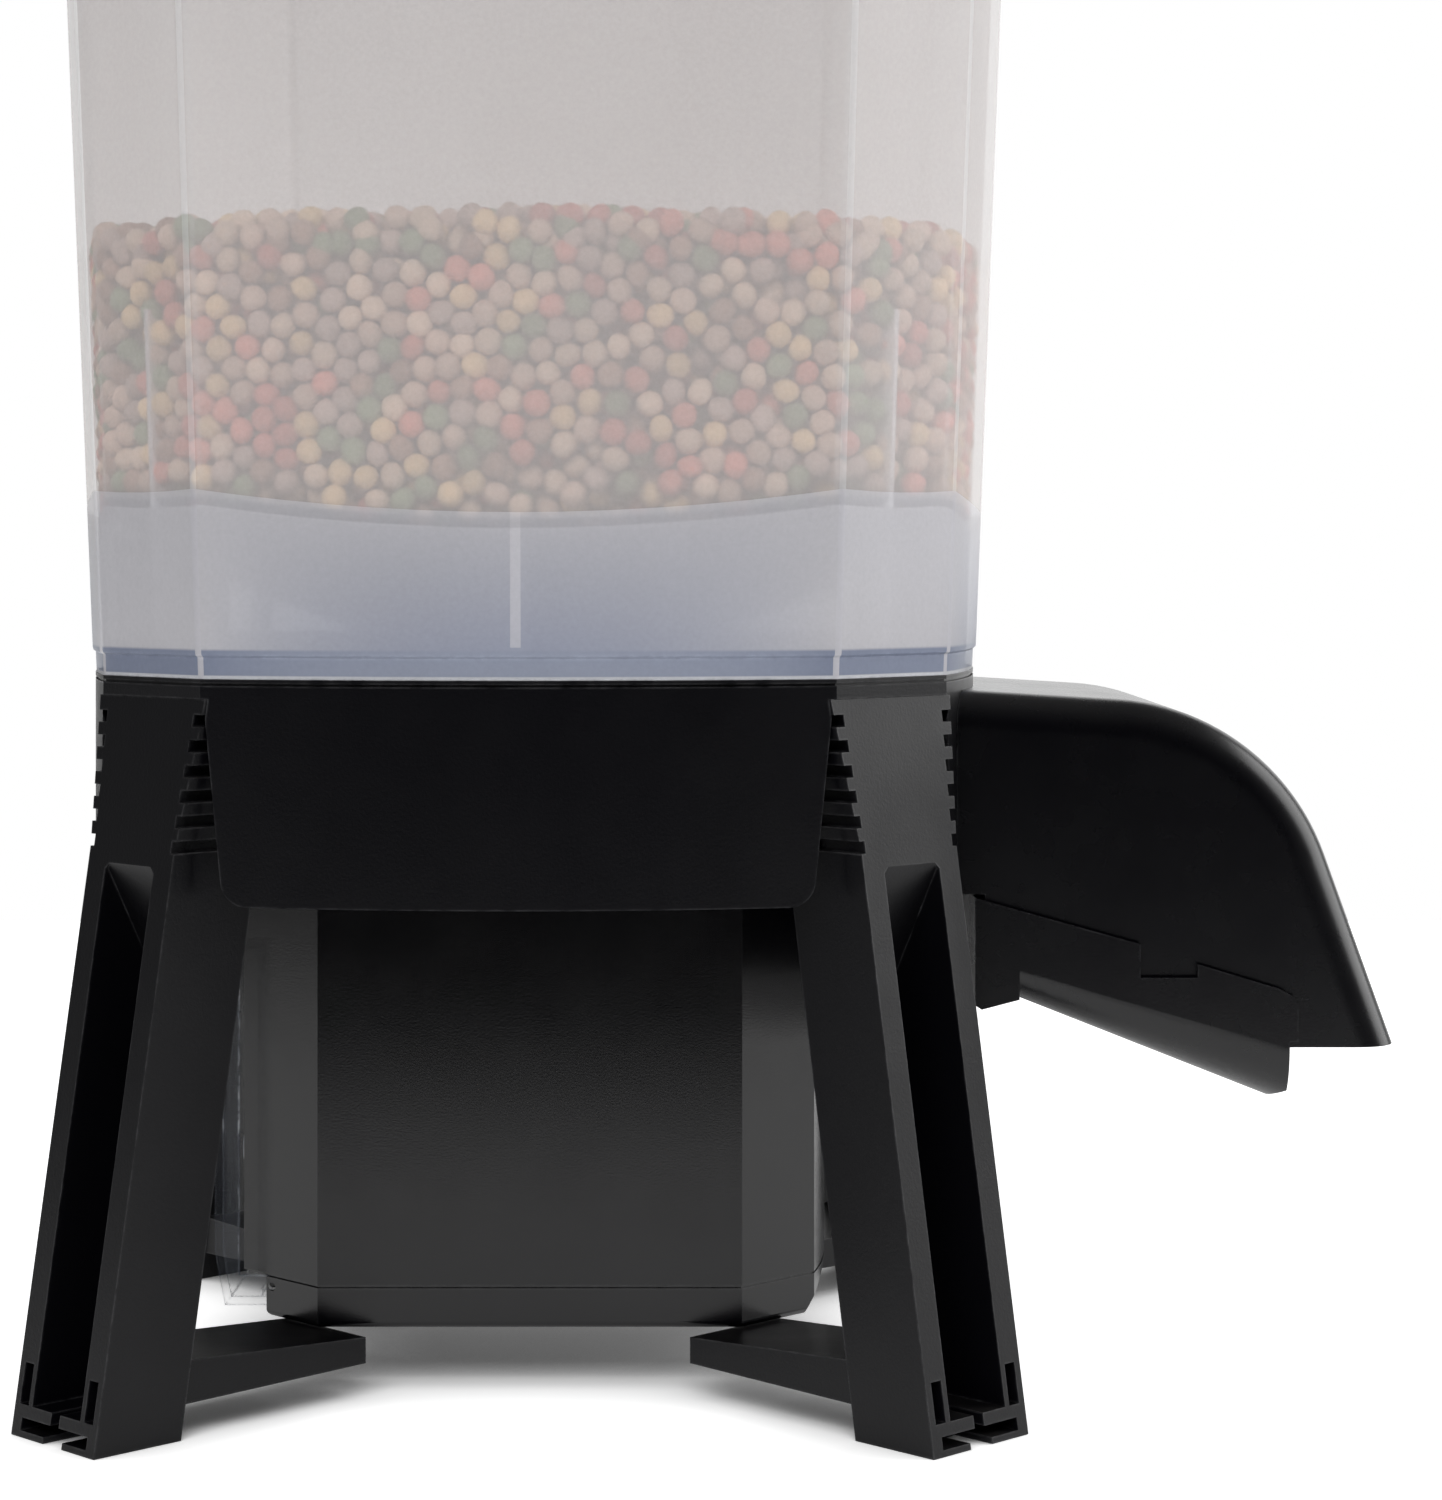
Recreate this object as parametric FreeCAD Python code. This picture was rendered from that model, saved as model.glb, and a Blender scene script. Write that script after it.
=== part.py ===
"""Automatic pond fish feeder: hopper on a four-legged base, auger drive, control box and spout.

Frame, in millimetres: Z up, ground at Z = 0, the centre of the four feet at X = Y = 0.
The spout points along +X, the control panel and its clear cover look along -X, the front is -Y.
Every function builds one piece or one group of alike pieces, and main() writes one STEP file for each.
"""
import FreeCAD, Part
import math
import os

V = FreeCAD.Vector

# ---- Octagonal body: four bulged walls joined by flat chamfers ----
FACE_HALF = 71.0            # half width of a bulged wall, at the collar
CORNER = 97.2               # distance of a wall's ends from the centre plane
BULGE = 10.6                # how far a wall's middle stands out past its ends
TOP_SCALE = 1.081           # the hopper widens by this much up to its rim
WALL = 2.5                  # moulded wall of the base

# ---- Heights ----
Z_APRON = 118.5             # lower edge of the four aprons
Z_DECK = 164.5              # underside of the deck, top of the legs
DECK = 2.5                  # deck thickness
Z_SEAT = 169.0              # collar top, where the hopper stands
Z_SPIGOT = 175.5            # top of the spigot inside the hopper
Z_RIM = 395.0               # hopper rim
Z_LID = 409.0               # top of the lid

# ---- Hopper ----
HOPPER_WALL = 2.4
THROAT = 60.0               # square feed opening
FUNNEL_SLOPE = 0.41
FUNNEL_Z = 161.15           # height of the funnel cone's top surface, if it ran to the centre line
RIB_FOOT = 176.3            # lower end of the hopper's ribs

# ---- Legs, in a frame whose X runs outwards along a corner diagonal ----
FOOT_REACH = 145.0          # outward face of a leg at the ground
LEG_LEAN = 0.1637           # how far the outward face comes in per millimetre of height
LEG_DEPTH = 23.3
LEG_HALF = 15.9             # half width below the comb
LEG_TOP_HALF = 20.0         # half width under the deck
Z_COMB = 130.0              # the leg widens above this height
CHANNEL_HALF = 9.2
CHANNEL_DEPTH = 20.0
COMB_PITCH = 5.6
COMB_SLOT = 2.7
COMB_COUNT = 6
COMB_FIRST = 131.7          # height of the lowest slot's middle
POCKET_REACH = 104.0        # how far out the base's pockets hold the legs' flanks
SCREW_XY = 91.5             # foot screw holes, along X and along Y
FOOT_SCREW_R = 2.25

# ---- Control box ----
BOX_X = 70.0
BOX_Y = 50.0
BOX_FACET = 20.0            # set-back of the corner facets
BOX_BULGE_X = 70.7
BOX_WALL = 2.2
Z_PARTING = 24.4            # joint between control box and its bottom cap
Z_CAP = 14.5                # underside of the cap
BOSS_X, BOSS_Y, BOSS_R = 50.0, 41.5, 4.8
SCREW_R = 1.6

# ---- Clear cover over the control panel ----
PIN_X, PIN_Z, PIN_R = -62.4, 21.7, 1.0
KNUCKLE_R = 2.2
COVER_X = -76.3
COVER_HALF = 35.0
COVER_WALL = 1.6
COVER_TOP = 103.0
CAP_LEAN = 0.637            # how far the cap's ends lean in, per unit of height
HINGE_BAY = -56.4           # inner wall of the hinge recess in the cap

# ---- Auger drive ----
AUGER_Z = 140.0
TUBE_R = 16.5
TUBE_WALL = 2.2
AUGER_R = 15.6
CORE_R = 5.0
AUGER_PITCH = 22.0
SHAFT_R = 3.0
TUBE_START, TUBE_END = -38.0, 112.0
GEARBOX_X = -53.0           # middle of the gearbox
GEARBOX_HALF = 11.0
SHAFT_START = -50.0         # inner end of the gearbox's output shaft
RUNNING = 0.05              # radial clearance of a running fit

# ---- Control panel ----
PANEL_HALF = 29.0
PANEL_LOW, PANEL_HIGH = 34.0, 100.0
BUTTON_R = 4.1
BUTTON_Z = 52.0
BUTTON_YS = (-18.0, -6.0, 6.0, 18.0)
BOARD_X = -62.0

# ---- Batteries: four D cells standing upright ----
CELL_R, CELL_LENGTH = 16.8, 61.0
CELL_PITCH = 34.6
CELLS_X = 14.0              # middle of the pack
CELL_Z = 24.0

# ---- Spout ----
HOOD_HALF = 60.0
HOOD_WALL = 2.4
HOOD_ARC_R = 55.0
HOOD_SHOULDER = 9.0
Z_MOUTH = 82.0
TRAY_GAP = 0.3
TRAY_WALL = 1.6
FLOOR_START, FLOOR_HIGH = 114.3, 93.3   # where the tray's floor starts to slope down
FLOOR_FALL = 0.4037


# ---------------------------------------------------------------- shape helpers

def box(x0, x1, y0, y1, z0, z1):
    """Box between two corners."""
    return Part.makeBox(x1 - x0, y1 - y0, z1 - z0, V(x0, y0, z0))


def rod(radius, start, end):
    """Solid cylinder from one point to another."""
    axis = V(*end) - V(*start)
    return Part.makeCylinder(radius, axis.Length, V(*start), axis)


def tube(outer, inner, start, end):
    """Hollow cylinder from one point to another."""
    return rod(outer, start, end).cut(rod(inner, start, end))


def side_prism(points, y0, y1):
    """Prism with its outline given as (x, z) points, between two Y planes."""
    corners = [V(x, y0, z) for x, z in points]
    return Part.Face(Part.makePolygon(corners + corners[:1])).extrude(V(0, y1 - y0, 0))


def front_prism(points, x0, x1):
    """Prism with its outline given as (y, z) points, between two X planes."""
    corners = [V(x0, y, z) for y, z in points]
    return Part.Face(Part.makePolygon(corners + corners[:1])).extrude(V(x1 - x0, 0, 0))


def joined(shapes):
    """Union of all the shapes, with seams inside flat faces removed."""
    first, *rest = shapes
    return first.fuse(rest).removeSplitter() if rest else first


def quarter_turns(shape, first_degrees=0.0):
    """Four copies of a shape about the Z axis."""
    turned = []
    for turn in range(4):
        copy = shape.copy()
        copy.rotate(V(0, 0, 0), V(0, 0, 1), first_degrees + 90.0 * turn)
        turned.append(copy)
    return turned


def mirrored_y(shape):
    """The shape and its mirror image across the XZ plane."""
    return [shape, shape.mirror(V(0, 0, 0), V(0, 1, 0))]


def edges_along(shape, axis, keep):
    """Straight edges parallel to an axis whose middle passes the keep test."""
    found = []
    for edge in shape.Edges:
        if len(edge.Vertexes) != 2:
            continue
        run = edge.Vertexes[1].Point - edge.Vertexes[0].Point
        if run.Length > 0.1 and run.cross(axis).Length < 1e-4 * run.Length and keep(edge.CenterOfMass):
            found.append(edge)
    return found


# ---------------------------------------------------------------- octagonal body

def octagon(z, inset=0.0, scale=1.0):
    """Closed wire of the body's outline: four arcs and four chamfer lines."""
    wall_r = (FACE_HALF ** 2 + BULGE ** 2) / (2 * BULGE) * scale
    centre = (CORNER + BULGE) * scale - wall_r
    wall_r -= inset
    reach = (FACE_HALF + CORNER) * scale - inset * math.sqrt(2) - centre
    y = (reach - math.sqrt(2 * wall_r ** 2 - reach ** 2)) / 2
    x = reach - y + centre
    middle = centre + wall_r
    edges = []
    for turn in range(4):
        spin = FreeCAD.Rotation(V(0, 0, 1), 90.0 * turn)
        low, mid, high, after = [
            spin.multVec(V(*p)) + V(0, 0, z) for p in ((x, -y, 0), (middle, 0, 0), (x, y, 0), (y, x, 0))
        ]
        edges += [Part.Arc(low, mid, high).toShape(), Part.LineSegment(high, after).toShape()]
    return Part.Wire(edges)


def octagon_prism(z0, z1, inset=0.0, scale=1.0):
    """Upright solid on the body's outline."""
    return Part.Face(octagon(z0, inset, scale)).extrude(V(0, 0, z1 - z0))


def octagon_loft(z0, z1, inset0, inset1, scale0, scale1):
    """Tapered solid between two outlines."""
    return Part.makeLoft([octagon(z0, inset0, scale0), octagon(z1, inset1, scale1)], True, True)


def hopper_scale(z):
    """Scale of the hopper's outline at a height."""
    return 1.0 + (TOP_SCALE - 1.0) * (z - Z_SEAT) / (Z_RIM - Z_SEAT)


def hopper_block(z0, z1, inset):
    """Solid that follows the hopper's wall, set in by a constant distance."""
    return octagon_loft(z0, z1, inset, inset, hopper_scale(z0), hopper_scale(z1))


# ---------------------------------------------------------------- hopper and lid

def under_funnel(drop=0.0):
    """Everything below the funnel's conical surface, lowered by drop."""
    reach = 150.0
    low = Z_SEAT - 30.0
    centre = FUNNEL_Z - drop
    points = [V(0, 0, low), V(reach, 0, low), V(reach, 0, centre + FUNNEL_SLOPE * reach), V(0, 0, centre)]
    return Part.Face(Part.makePolygon(points + points[:1])).revolve(V(0, 0, 0), V(0, 0, 1), 360)


def hopper_cavity():
    """Space inside the hopper's wall, from below its foot to above its rim."""
    return hopper_block(Z_SEAT - 1, Z_RIM + 1, HOPPER_WALL)


def corner_ribs():
    """Four upright ribs in the middle of the hopper's chamfers."""
    return quarter_turns(box(109.5, 120, -0.8, 0.8, RIB_FOOT, 252), 45.0)


def hopper():
    """Translucent hopper tub: tapered wall, stepped foot, rim and corner ribs."""
    wall = hopper_block(Z_SEAT, Z_RIM, 0.0).cut(hopper_cavity())
    rim = hopper_block(Z_RIM - 4, Z_RIM, -1.6).cut(hopper_block(Z_RIM - 5, Z_RIM + 1, 0.5))
    ribs = [rib.common(hopper_block(Z_SEAT, 300, 1.0)) for rib in corner_ribs()]
    skirt_step = octagon_prism(Z_SEAT - 1, Z_SEAT + 5, -3).cut(octagon_prism(Z_SEAT - 1, Z_SEAT + 5, 0.7))
    return joined([wall, rim] + ribs).cut(skirt_step)


def hopper_funnel():
    """Funnel floor welded into the hopper, with its square throat and four ribs underneath."""
    below = under_funnel()
    cone = below.cut(under_funnel(2.4))
    half = THROAT / 2
    frame_half = half + 3.0
    frame = box(-frame_half, frame_half, -frame_half, frame_half, Z_SEAT, Z_SEAT + 14).common(below)
    ribs = quarter_turns(box(78, 112, -1.15, 1.15, RIB_FOOT, 206).common(below))
    opening = box(-half, half, -half, half, Z_SEAT - 1, Z_SEAT + 30)
    return joined([cone, frame] + ribs).common(hopper_cavity()).cut([opening] + corner_ribs())


def lid():
    """Lift-off lid: skirt outside the rim, crowned top with a dished grip, lip inside the hopper."""
    top = hopper_scale(Z_RIM)
    skirt = octagon_prism(Z_RIM - 12, Z_RIM + 6, -4.6, top)
    crown = octagon_loft(Z_RIM + 6, Z_LID, -4.6, 10.0, top, top)
    rim_space = octagon_prism(Z_RIM - 13, Z_RIM, -2.2, top)
    under_crown = octagon_loft(Z_RIM - 13, Z_LID - 2.6, 9.0, 13.0, top, top)
    lip = octagon_prism(Z_RIM - 9, Z_RIM + 2, 3.2, top).cut(octagon_prism(Z_RIM - 10, Z_RIM + 3, 5.6, top))
    seal_groove = octagon_prism(Z_RIM - 1, Z_RIM + 1.6, -1.0, top).cut(
        octagon_prism(Z_RIM - 2, Z_RIM + 3, 1.8, top))
    dish = rod(40, (0, 0, Z_LID - 9), (0, 0, Z_LID + 1))
    dish_wall = rod(43, (0, 0, Z_LID - 11.5), (0, 0, Z_LID - 1))
    grip = box(-41, 41, -8, 8, Z_LID - 9.5, Z_LID - 0.4)
    grip = grip.makeFillet(2.5, edges_along(grip, V(1, 0, 0), lambda m: m.z > Z_LID - 2))
    shell = joined([skirt, crown]).cut(rim_space).cut(under_crown)
    return joined([joined([shell, lip, dish_wall]).cut(dish), grip]).cut(seal_groove)


def lid_seal():
    """Soft ring in the lid's groove, lying on the hopper's rim."""
    top = hopper_scale(Z_RIM)
    return octagon_prism(Z_RIM, Z_RIM + 1.6, -1.0, top).cut(octagon_prism(Z_RIM - 1, Z_RIM + 2, 1.8, top))


# ---------------------------------------------------------------- base

def leg_outline(grow=0.0):
    """Solid envelope of a leg in its own frame, optionally grown on its inner side and flanks."""
    inner = FOOT_REACH - LEG_DEPTH - grow
    lean = LEG_LEAN * Z_DECK
    profile = side_prism(
        [(inner, 0), (FOOT_REACH, 0), (FOOT_REACH - lean, Z_DECK), (inner - lean, Z_DECK)], -30, 30)
    low, high = LEG_HALF + grow, LEG_TOP_HALF + grow
    width = front_prism(
        [(-low, 0), (low, 0), (low, Z_COMB), (high, Z_DECK), (-high, Z_DECK), (-low, Z_COMB)], 0, 200)
    return profile.common(width)


def base_housing():
    """Black base: collar with spigot, deck, four aprons and the pockets that hold the legs."""
    collar = octagon_prism(Z_DECK, Z_SEAT, 0.5)
    recess = octagon_prism(Z_DECK + DECK, Z_SEAT + 1, 0.5 + WALL)
    groove = octagon_prism(Z_DECK + 3.0, Z_DECK + 3.6, -1).cut(octagon_prism(Z_DECK + 3, Z_DECK + 3.6, 1.1))
    spigot = octagon_prism(Z_DECK + 1, Z_SPIGOT, 3.4).cut(octagon_prism(Z_DECK, Z_SPIGOT + 1, 3.4 + WALL))
    apron_ring = octagon_prism(Z_APRON, Z_DECK, 0.5).cut(octagon_prism(Z_APRON - 1, Z_DECK + 1, 0.5 + WALL))
    apron_shape = front_prism(
        [(-65.5, Z_APRON), (65.5, Z_APRON), (70.0, Z_DECK), (-70.0, Z_DECK)], 60, 120)
    rounded = edges_along(apron_shape, V(1, 0, 0), lambda m: m.z < Z_APRON + 1)
    apron_shape = apron_shape.makeFillet(6.0, rounded)
    aprons = [apron_ring.common(turned) for turned in quarter_turns(apron_shape)]
    pocket = box(60, POCKET_REACH, -40, 40, Z_COMB - 5, Z_DECK).common(leg_outline(WALL))
    pockets = [p.common(octagon_prism(Z_APRON, Z_DECK, 0.5)) for p in quarter_turns(pocket, 45.0)]
    body = joined([collar.cut(recess).cut(groove), spigot] + aprons + pockets)
    cutters = quarter_turns(leg_outline(), 45.0)
    cutters += quarter_turns(rod(SCREW_R + 0.3, (60, 0, 151), (110, 0, 151)), 45.0)
    half = THROAT / 2
    cutters.append(box(-half, half, -half, half, Z_DECK - 1, Z_SEAT))
    cutters.append(rod(TUBE_R + TUBE_WALL + 0.2, (90, 0, AUGER_Z), (120, 0, AUGER_Z)))
    cutters += [rod(SCREW_R, (x, y, Z_DECK - 1), (x, y, Z_SEAT)) for x, y in boss_places()]
    cutters += [rod(SCREW_R, (90, y, z), (120, y, z)) for y, z in hood_screw_places()]
    return body.cut(cutters)


def boss_places():
    """Plan positions of the four screws that run down into the control box's corners."""
    return [(sx * BOSS_X, sy * BOSS_Y) for sx in (-1, 1) for sy in (-1, 1)]


def hood_screw_places():
    """(y, z) positions of the four screws that hold the spout hood."""
    return [(sy * 47.0, z) for sy in (-1, 1) for z in (128.0, 152.0)]


def leg():
    """One leg in its own frame: channel, comb slots, foot slots and the inward arm."""
    def face(z):
        return FOOT_REACH - LEG_LEAN * z

    channel_top = 127.0
    ramp_foot = 97.0
    body = leg_outline()
    channel = side_prism(
        [(face(channel_top) + 2, channel_top), (face(channel_top), channel_top),
         (face(ramp_foot) - CHANNEL_DEPTH, ramp_foot), (face(7) - CHANNEL_DEPTH, 7), (face(7) + 5, 7)],
        -CHANNEL_HALF, CHANNEL_HALF)
    arch = front_prism(
        [(-CHANNEL_HALF, 0), (CHANNEL_HALF, 0), (CHANNEL_HALF, channel_top - 1.4),
         (CHANNEL_HALF - 1.4, channel_top), (1.4 - CHANNEL_HALF, channel_top),
         (-CHANNEL_HALF, channel_top - 1.4)], 80, 160)
    cutters = [channel.common(arch)]
    for step in range(COMB_COUNT):
        z = COMB_FIRST + step * COMB_PITCH
        half = LEG_HALF + (LEG_TOP_HALF - LEG_HALF) * max(0.0, z - Z_COMB) / (Z_DECK - Z_COMB)
        slot = box(face(z) - 14, face(z) + 3, half - 1.5 - 0.3 * step, half + 3,
                   z - COMB_SLOT / 2, z + COMB_SLOT / 2)
        cutters += mirrored_y(slot)
    cutters += mirrored_y(box(face(7) - 7, face(7) + 4, 10.7, 14.0, 7, 16))
    slot_back = 134.0
    cutters.append(box(slot_back, 150, -12.6, 12.6, 1.4, 4.2))
    cutters.append(box(slot_back, 150, -3.6, 3.6, -1, 2))
    cutters.append(box(slot_back, 150, -1.6, 1.6, 4, 8))
    arm_end = 68.0
    arm = side_prism([(arm_end, 8.2), (124, 7.4), (124, 17.6), (arm_end, 14.3)], -14.6, 14.6)
    hole_reach = SCREW_XY * math.sqrt(2)
    cutters.append(rod(FOOT_SCREW_R, (hole_reach, 0, -1), (hole_reach, 0, 9)))
    cutters.append(rod(SCREW_R - 0.1, (80, 0, 151), (108, 0, 151)))
    pocket_cut = box(0, face(20) - LEG_DEPTH + 3, -11.6, 11.6, 5, 12)
    body = joined([body, arm]).cut(cutters)
    return body.cut(pocket_cut.common(box(arm_end + 3, 118, -11.6, 11.6, 5, 12)))


def leg_screws():
    """Four screws from inside the base into the legs."""
    inner = FOOT_REACH - LEG_DEPTH - LEG_LEAN * 151 - WALL
    screw = joined([
        rod(SCREW_R - 0.1, (inner - 1, 0, 151), (107, 0, 151)),
        rod(3.2, (inner - 3.6, 0, 151), (inner - 0.8, 0, 151)),
    ])
    return Part.makeCompound(quarter_turns(screw, 45.0))


# ---------------------------------------------------------------- control box

def box_outline(z, inset=0.0):
    """Closed wire of the control box in plan: flat panel side at -X, bulged side at +X."""
    flat_y = BOX_Y - inset
    corner = inset * math.tan(math.radians(22.5))
    front_x = BOX_X - BOX_FACET - corner
    left_x = -BOX_X + inset
    left_y = BOX_Y - BOX_FACET - corner
    bulge_x = BOX_BULGE_X - inset
    right_y = 32.6 - corner
    right_x = front_x + flat_y - right_y
    places = [(left_x, -left_y), (-front_x, -flat_y), (front_x, -flat_y), (right_x, -right_y)]
    lower = [V(x, y, z) for x, y in places]
    upper = [V(x, -y, z) for x, y in reversed(places)]
    edges = [Part.LineSegment(a, b).toShape() for a, b in zip(lower, lower[1:])]
    edges.append(Part.Arc(lower[-1], V(bulge_x, 0, z), upper[0]).toShape())
    edges += [Part.LineSegment(a, b).toShape() for a, b in zip(upper, upper[1:])]
    edges.append(Part.LineSegment(upper[-1], lower[0]).toShape())
    return Part.Wire(edges)


def box_prism(z0, z1, inset=0.0):
    """Upright solid on the control box's outline."""
    return Part.Face(box_outline(z0, inset)).extrude(V(0, 0, z1 - z0))


def control_box():
    """Tall shell under the deck, open at both ends, with corner bosses and a panel window."""
    shell = box_prism(Z_PARTING, Z_DECK).cut(box_prism(Z_PARTING - 1, Z_DECK + 1, BOX_WALL))
    inside = box_prism(Z_PARTING, Z_DECK, 1.0)
    bosses = []
    for x, y in boss_places():
        bosses.append(rod(BOSS_R, (x, y, Z_DECK - 16), (x, y, Z_DECK)).common(inside))
        bosses.append(rod(BOSS_R, (x, y, Z_PARTING), (x, y, Z_PARTING + 14)).common(inside))
    cutters = [box(-80, -60, -PANEL_HALF, PANEL_HALF, PANEL_LOW, PANEL_HIGH)]
    cutters.append(rod(TUBE_R + TUBE_WALL + 0.2, (60, 0, AUGER_Z), (80, 0, AUGER_Z)))
    for x, y in boss_places():
        cutters.append(rod(SCREW_R, (x, y, Z_DECK - 12), (x, y, Z_DECK + 1)))
        cutters.append(rod(SCREW_R, (x, y, Z_PARTING - 1), (x, y, Z_PARTING + 11)))
    return joined([shell] + bosses).cut(cutters)


def cap_taper(inset=0.0):
    """Solid that leans in at both ends of the cap, towards its lower side."""
    low, high = Z_CAP - 1, Z_PARTING + 2
    narrow = BOX_X + 1.2 - CAP_LEAN * (Z_PARTING - low) - inset
    wide = BOX_X + 1.2 + CAP_LEAN * (high - Z_PARTING) - inset
    return side_prism([(-narrow, low), (narrow, low), (wide, high), (-wide, high)], -60, 60)


def control_box_cap():
    """Bottom cap: leaning ends, a seam under the box, a hinge bay on the panel side and two hinge lugs."""
    outer = box_prism(Z_CAP, Z_PARTING)
    lower = [e for e in outer.Edges if abs(e.CenterOfMass.z - Z_CAP) < 0.01]
    outer = outer.makeFillet(1.6, lower).common(cap_taper())
    seam = box_prism(Z_PARTING - 0.5, Z_PARTING + 1).cut(box_prism(Z_PARTING - 1, Z_PARTING + 2, 0.6))
    outer = outer.cut(seam)
    hollow = box_prism(Z_CAP + 2.6, Z_PARTING + 1, BOX_WALL + 0.6).common(cap_taper(3.2))
    bosses = [rod(BOSS_R + 0.6, (x, y, Z_CAP), (x, y, Z_PARTING)) for x, y in boss_places()]
    bay = box(-90, HINGE_BAY, -36.2, 36.2, Z_CAP - 1, Z_PARTING + 1)
    bay_wall = box(HINGE_BAY, HINGE_BAY + BOX_WALL, -38, 38, Z_CAP + 0.4, Z_PARTING)
    cap = joined([outer.cut(hollow), bay_wall] + [b.common(outer) for b in bosses]).cut(bay)
    lug = joined([
        rod(3.0, (PIN_X, 16.5, PIN_Z), (PIN_X, 23.5, PIN_Z)),
        box(PIN_X, HINGE_BAY + 1, 16.5, 23.5, PIN_Z - 3.0, Z_PARTING - 0.1),
    ]).common(box(-80, -40, 10, 30, 0, Z_PARTING - 0.1))
    cap = joined([cap] + mirrored_y(lug))
    cutters = [rod(PIN_R, (PIN_X, -40, PIN_Z), (PIN_X, 40, PIN_Z))]
    for x, y in boss_places():
        cutters.append(rod(SCREW_R + 0.2, (x, y, Z_CAP - 1), (x, y, Z_PARTING + 1)))
        cutters.append(rod(3.4, (x, y, Z_CAP - 1), (x, y, Z_CAP + 3.5)))
    return cap.cut(cutters)


def cap_screws():
    """Four screws up through the cap into the control box."""
    screws = []
    for x, y in boss_places():
        head_top = Z_CAP + 3.5
        shank = rod(SCREW_R, (x, y, head_top - 0.5), (x, y, Z_PARTING + 10))
        screws.append(joined([shank, rod(3.1, (x, y, head_top - 2.6), (x, y, head_top))]))
    return Part.makeCompound(screws)


def deck_screws():
    """Four screws down through the deck into the control box."""
    screws = []
    for x, y in boss_places():
        seat = Z_DECK + DECK
        shank = rod(SCREW_R, (x, y, Z_DECK - 11), (x, y, seat + 0.5))
        screws.append(joined([shank, rod(3.1, (x, y, seat), (x, y, seat + 2.0))]))
    return Part.makeCompound(screws)


# ---------------------------------------------------------------- clear cover

def clear_cover():
    """Clear flip cover: outer wall, two side walls with hinge knuckles, top wall and chin."""
    inner_x = -BOX_X - 0.5
    chin_z = 16.7
    outer = [(COVER_X, COVER_TOP), (COVER_X, 30), (COVER_X + 0.9, 24), (COVER_X + 2.4, chin_z)]
    side = side_prism(
        outer + [(PIN_X + 1.9, chin_z), (PIN_X + 1.9, PIN_Z), (PIN_X, Z_PARTING - 0.5),
                 (inner_x, Z_PARTING - 0.5), (inner_x, COVER_TOP)],
        COVER_HALF - COVER_WALL, COVER_HALF)
    inner = [(x + COVER_WALL, z) for x, z in reversed(outer)]
    wall = side_prism(outer + inner, -COVER_HALF, COVER_HALF)
    top = box(COVER_X, inner_x, -COVER_HALF, COVER_HALF, COVER_TOP - COVER_WALL, COVER_TOP)
    chin = box(COVER_X + 2.4, PIN_X - 4.0, -COVER_HALF, COVER_HALF, chin_z, chin_z + COVER_WALL)
    lip = box(COVER_X - 2.2, COVER_X + 1, -9, 9, COVER_TOP - 2.4, COVER_TOP)
    knuckle = rod(KNUCKLE_R, (PIN_X, 24.2, PIN_Z), (PIN_X, COVER_HALF, PIN_Z))
    strap = box(PIN_X - 0.8, PIN_X + 0.8, 24.2, COVER_HALF, chin_z, PIN_Z)
    strap_foot = box(PIN_X - 5.0, PIN_X + 0.8, 24.2, COVER_HALF, chin_z, chin_z + COVER_WALL)
    moving = mirrored_y(side) + mirrored_y(knuckle) + mirrored_y(strap) + mirrored_y(strap_foot)
    cover = joined([wall, top, chin, lip] + moving)
    return cover.cut(rod(PIN_R + RUNNING, (PIN_X, -40, PIN_Z), (PIN_X, 40, PIN_Z)))


def cover_hinge_pin():
    """Steel pin through the cap's lugs and the cover's knuckles."""
    return rod(PIN_R, (PIN_X, -34.0, PIN_Z), (PIN_X, 34.0, PIN_Z))


# ---------------------------------------------------------------- control panel

def control_fascia():
    """Panel plate in the control box's window, with a display opening and four button holes."""
    plate = box(-BOX_X, -BOX_X + 2.0, -PANEL_HALF, PANEL_HALF, PANEL_LOW, PANEL_HIGH)
    cutters = [box(-80, -60, -22, 22, 70, 92), box(-80, -BOX_X + 1.2, -24, 24, 68, 94)]
    cutters += [rod(BUTTON_R + 0.3, (-80, y, BUTTON_Z), (-60, y, BUTTON_Z)) for y in BUTTON_YS]
    return plate.cut(cutters)


def display_lens():
    """Clear window bonded into the fascia's rebate."""
    return box(-BOX_X, -BOX_X + 1.2, -24, 24, 68, 94)


def display_module():
    """Liquid crystal display behind the window."""
    return box(-67.4, BOARD_X, -23, 23, 69, 93)


def circuit_board():
    """Control board behind the panel."""
    return box(BOARD_X, BOARD_X + 1.6, -28.0, 28.0, 36, 98)


def button(y):
    """Push button: domed cap through the fascia, flange behind it and a stem."""
    cap = rod(BUTTON_R, (-71.4, y, BUTTON_Z), (-66.6, y, BUTTON_Z))
    cap = cap.makeChamfer(0.6, [e for e in cap.Edges if abs(e.CenterOfMass.x + 71.4) < 0.01])
    flange = rod(5.1, (-67.8, y, BUTTON_Z), (-66.6, y, BUTTON_Z))
    stem = rod(1.5, (-66.8, y, BUTTON_Z), (-64.9, y, BUTTON_Z))
    return joined([cap, flange, stem])


def button_switches():
    """Four tactile switches on the board."""
    switches = []
    for y in BUTTON_YS:
        body = box(BOARD_X - 1.2, BOARD_X, y - 3, y + 3, BUTTON_Z - 3, BUTTON_Z + 3)
        plunger = rod(1.4, (BOARD_X - 1.6, y, BUTTON_Z), (BOARD_X - 1.0, y, BUTTON_Z))
        switches.append(joined([body, plunger]))
    return Part.makeCompound(switches)


# ---------------------------------------------------------------- batteries

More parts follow.
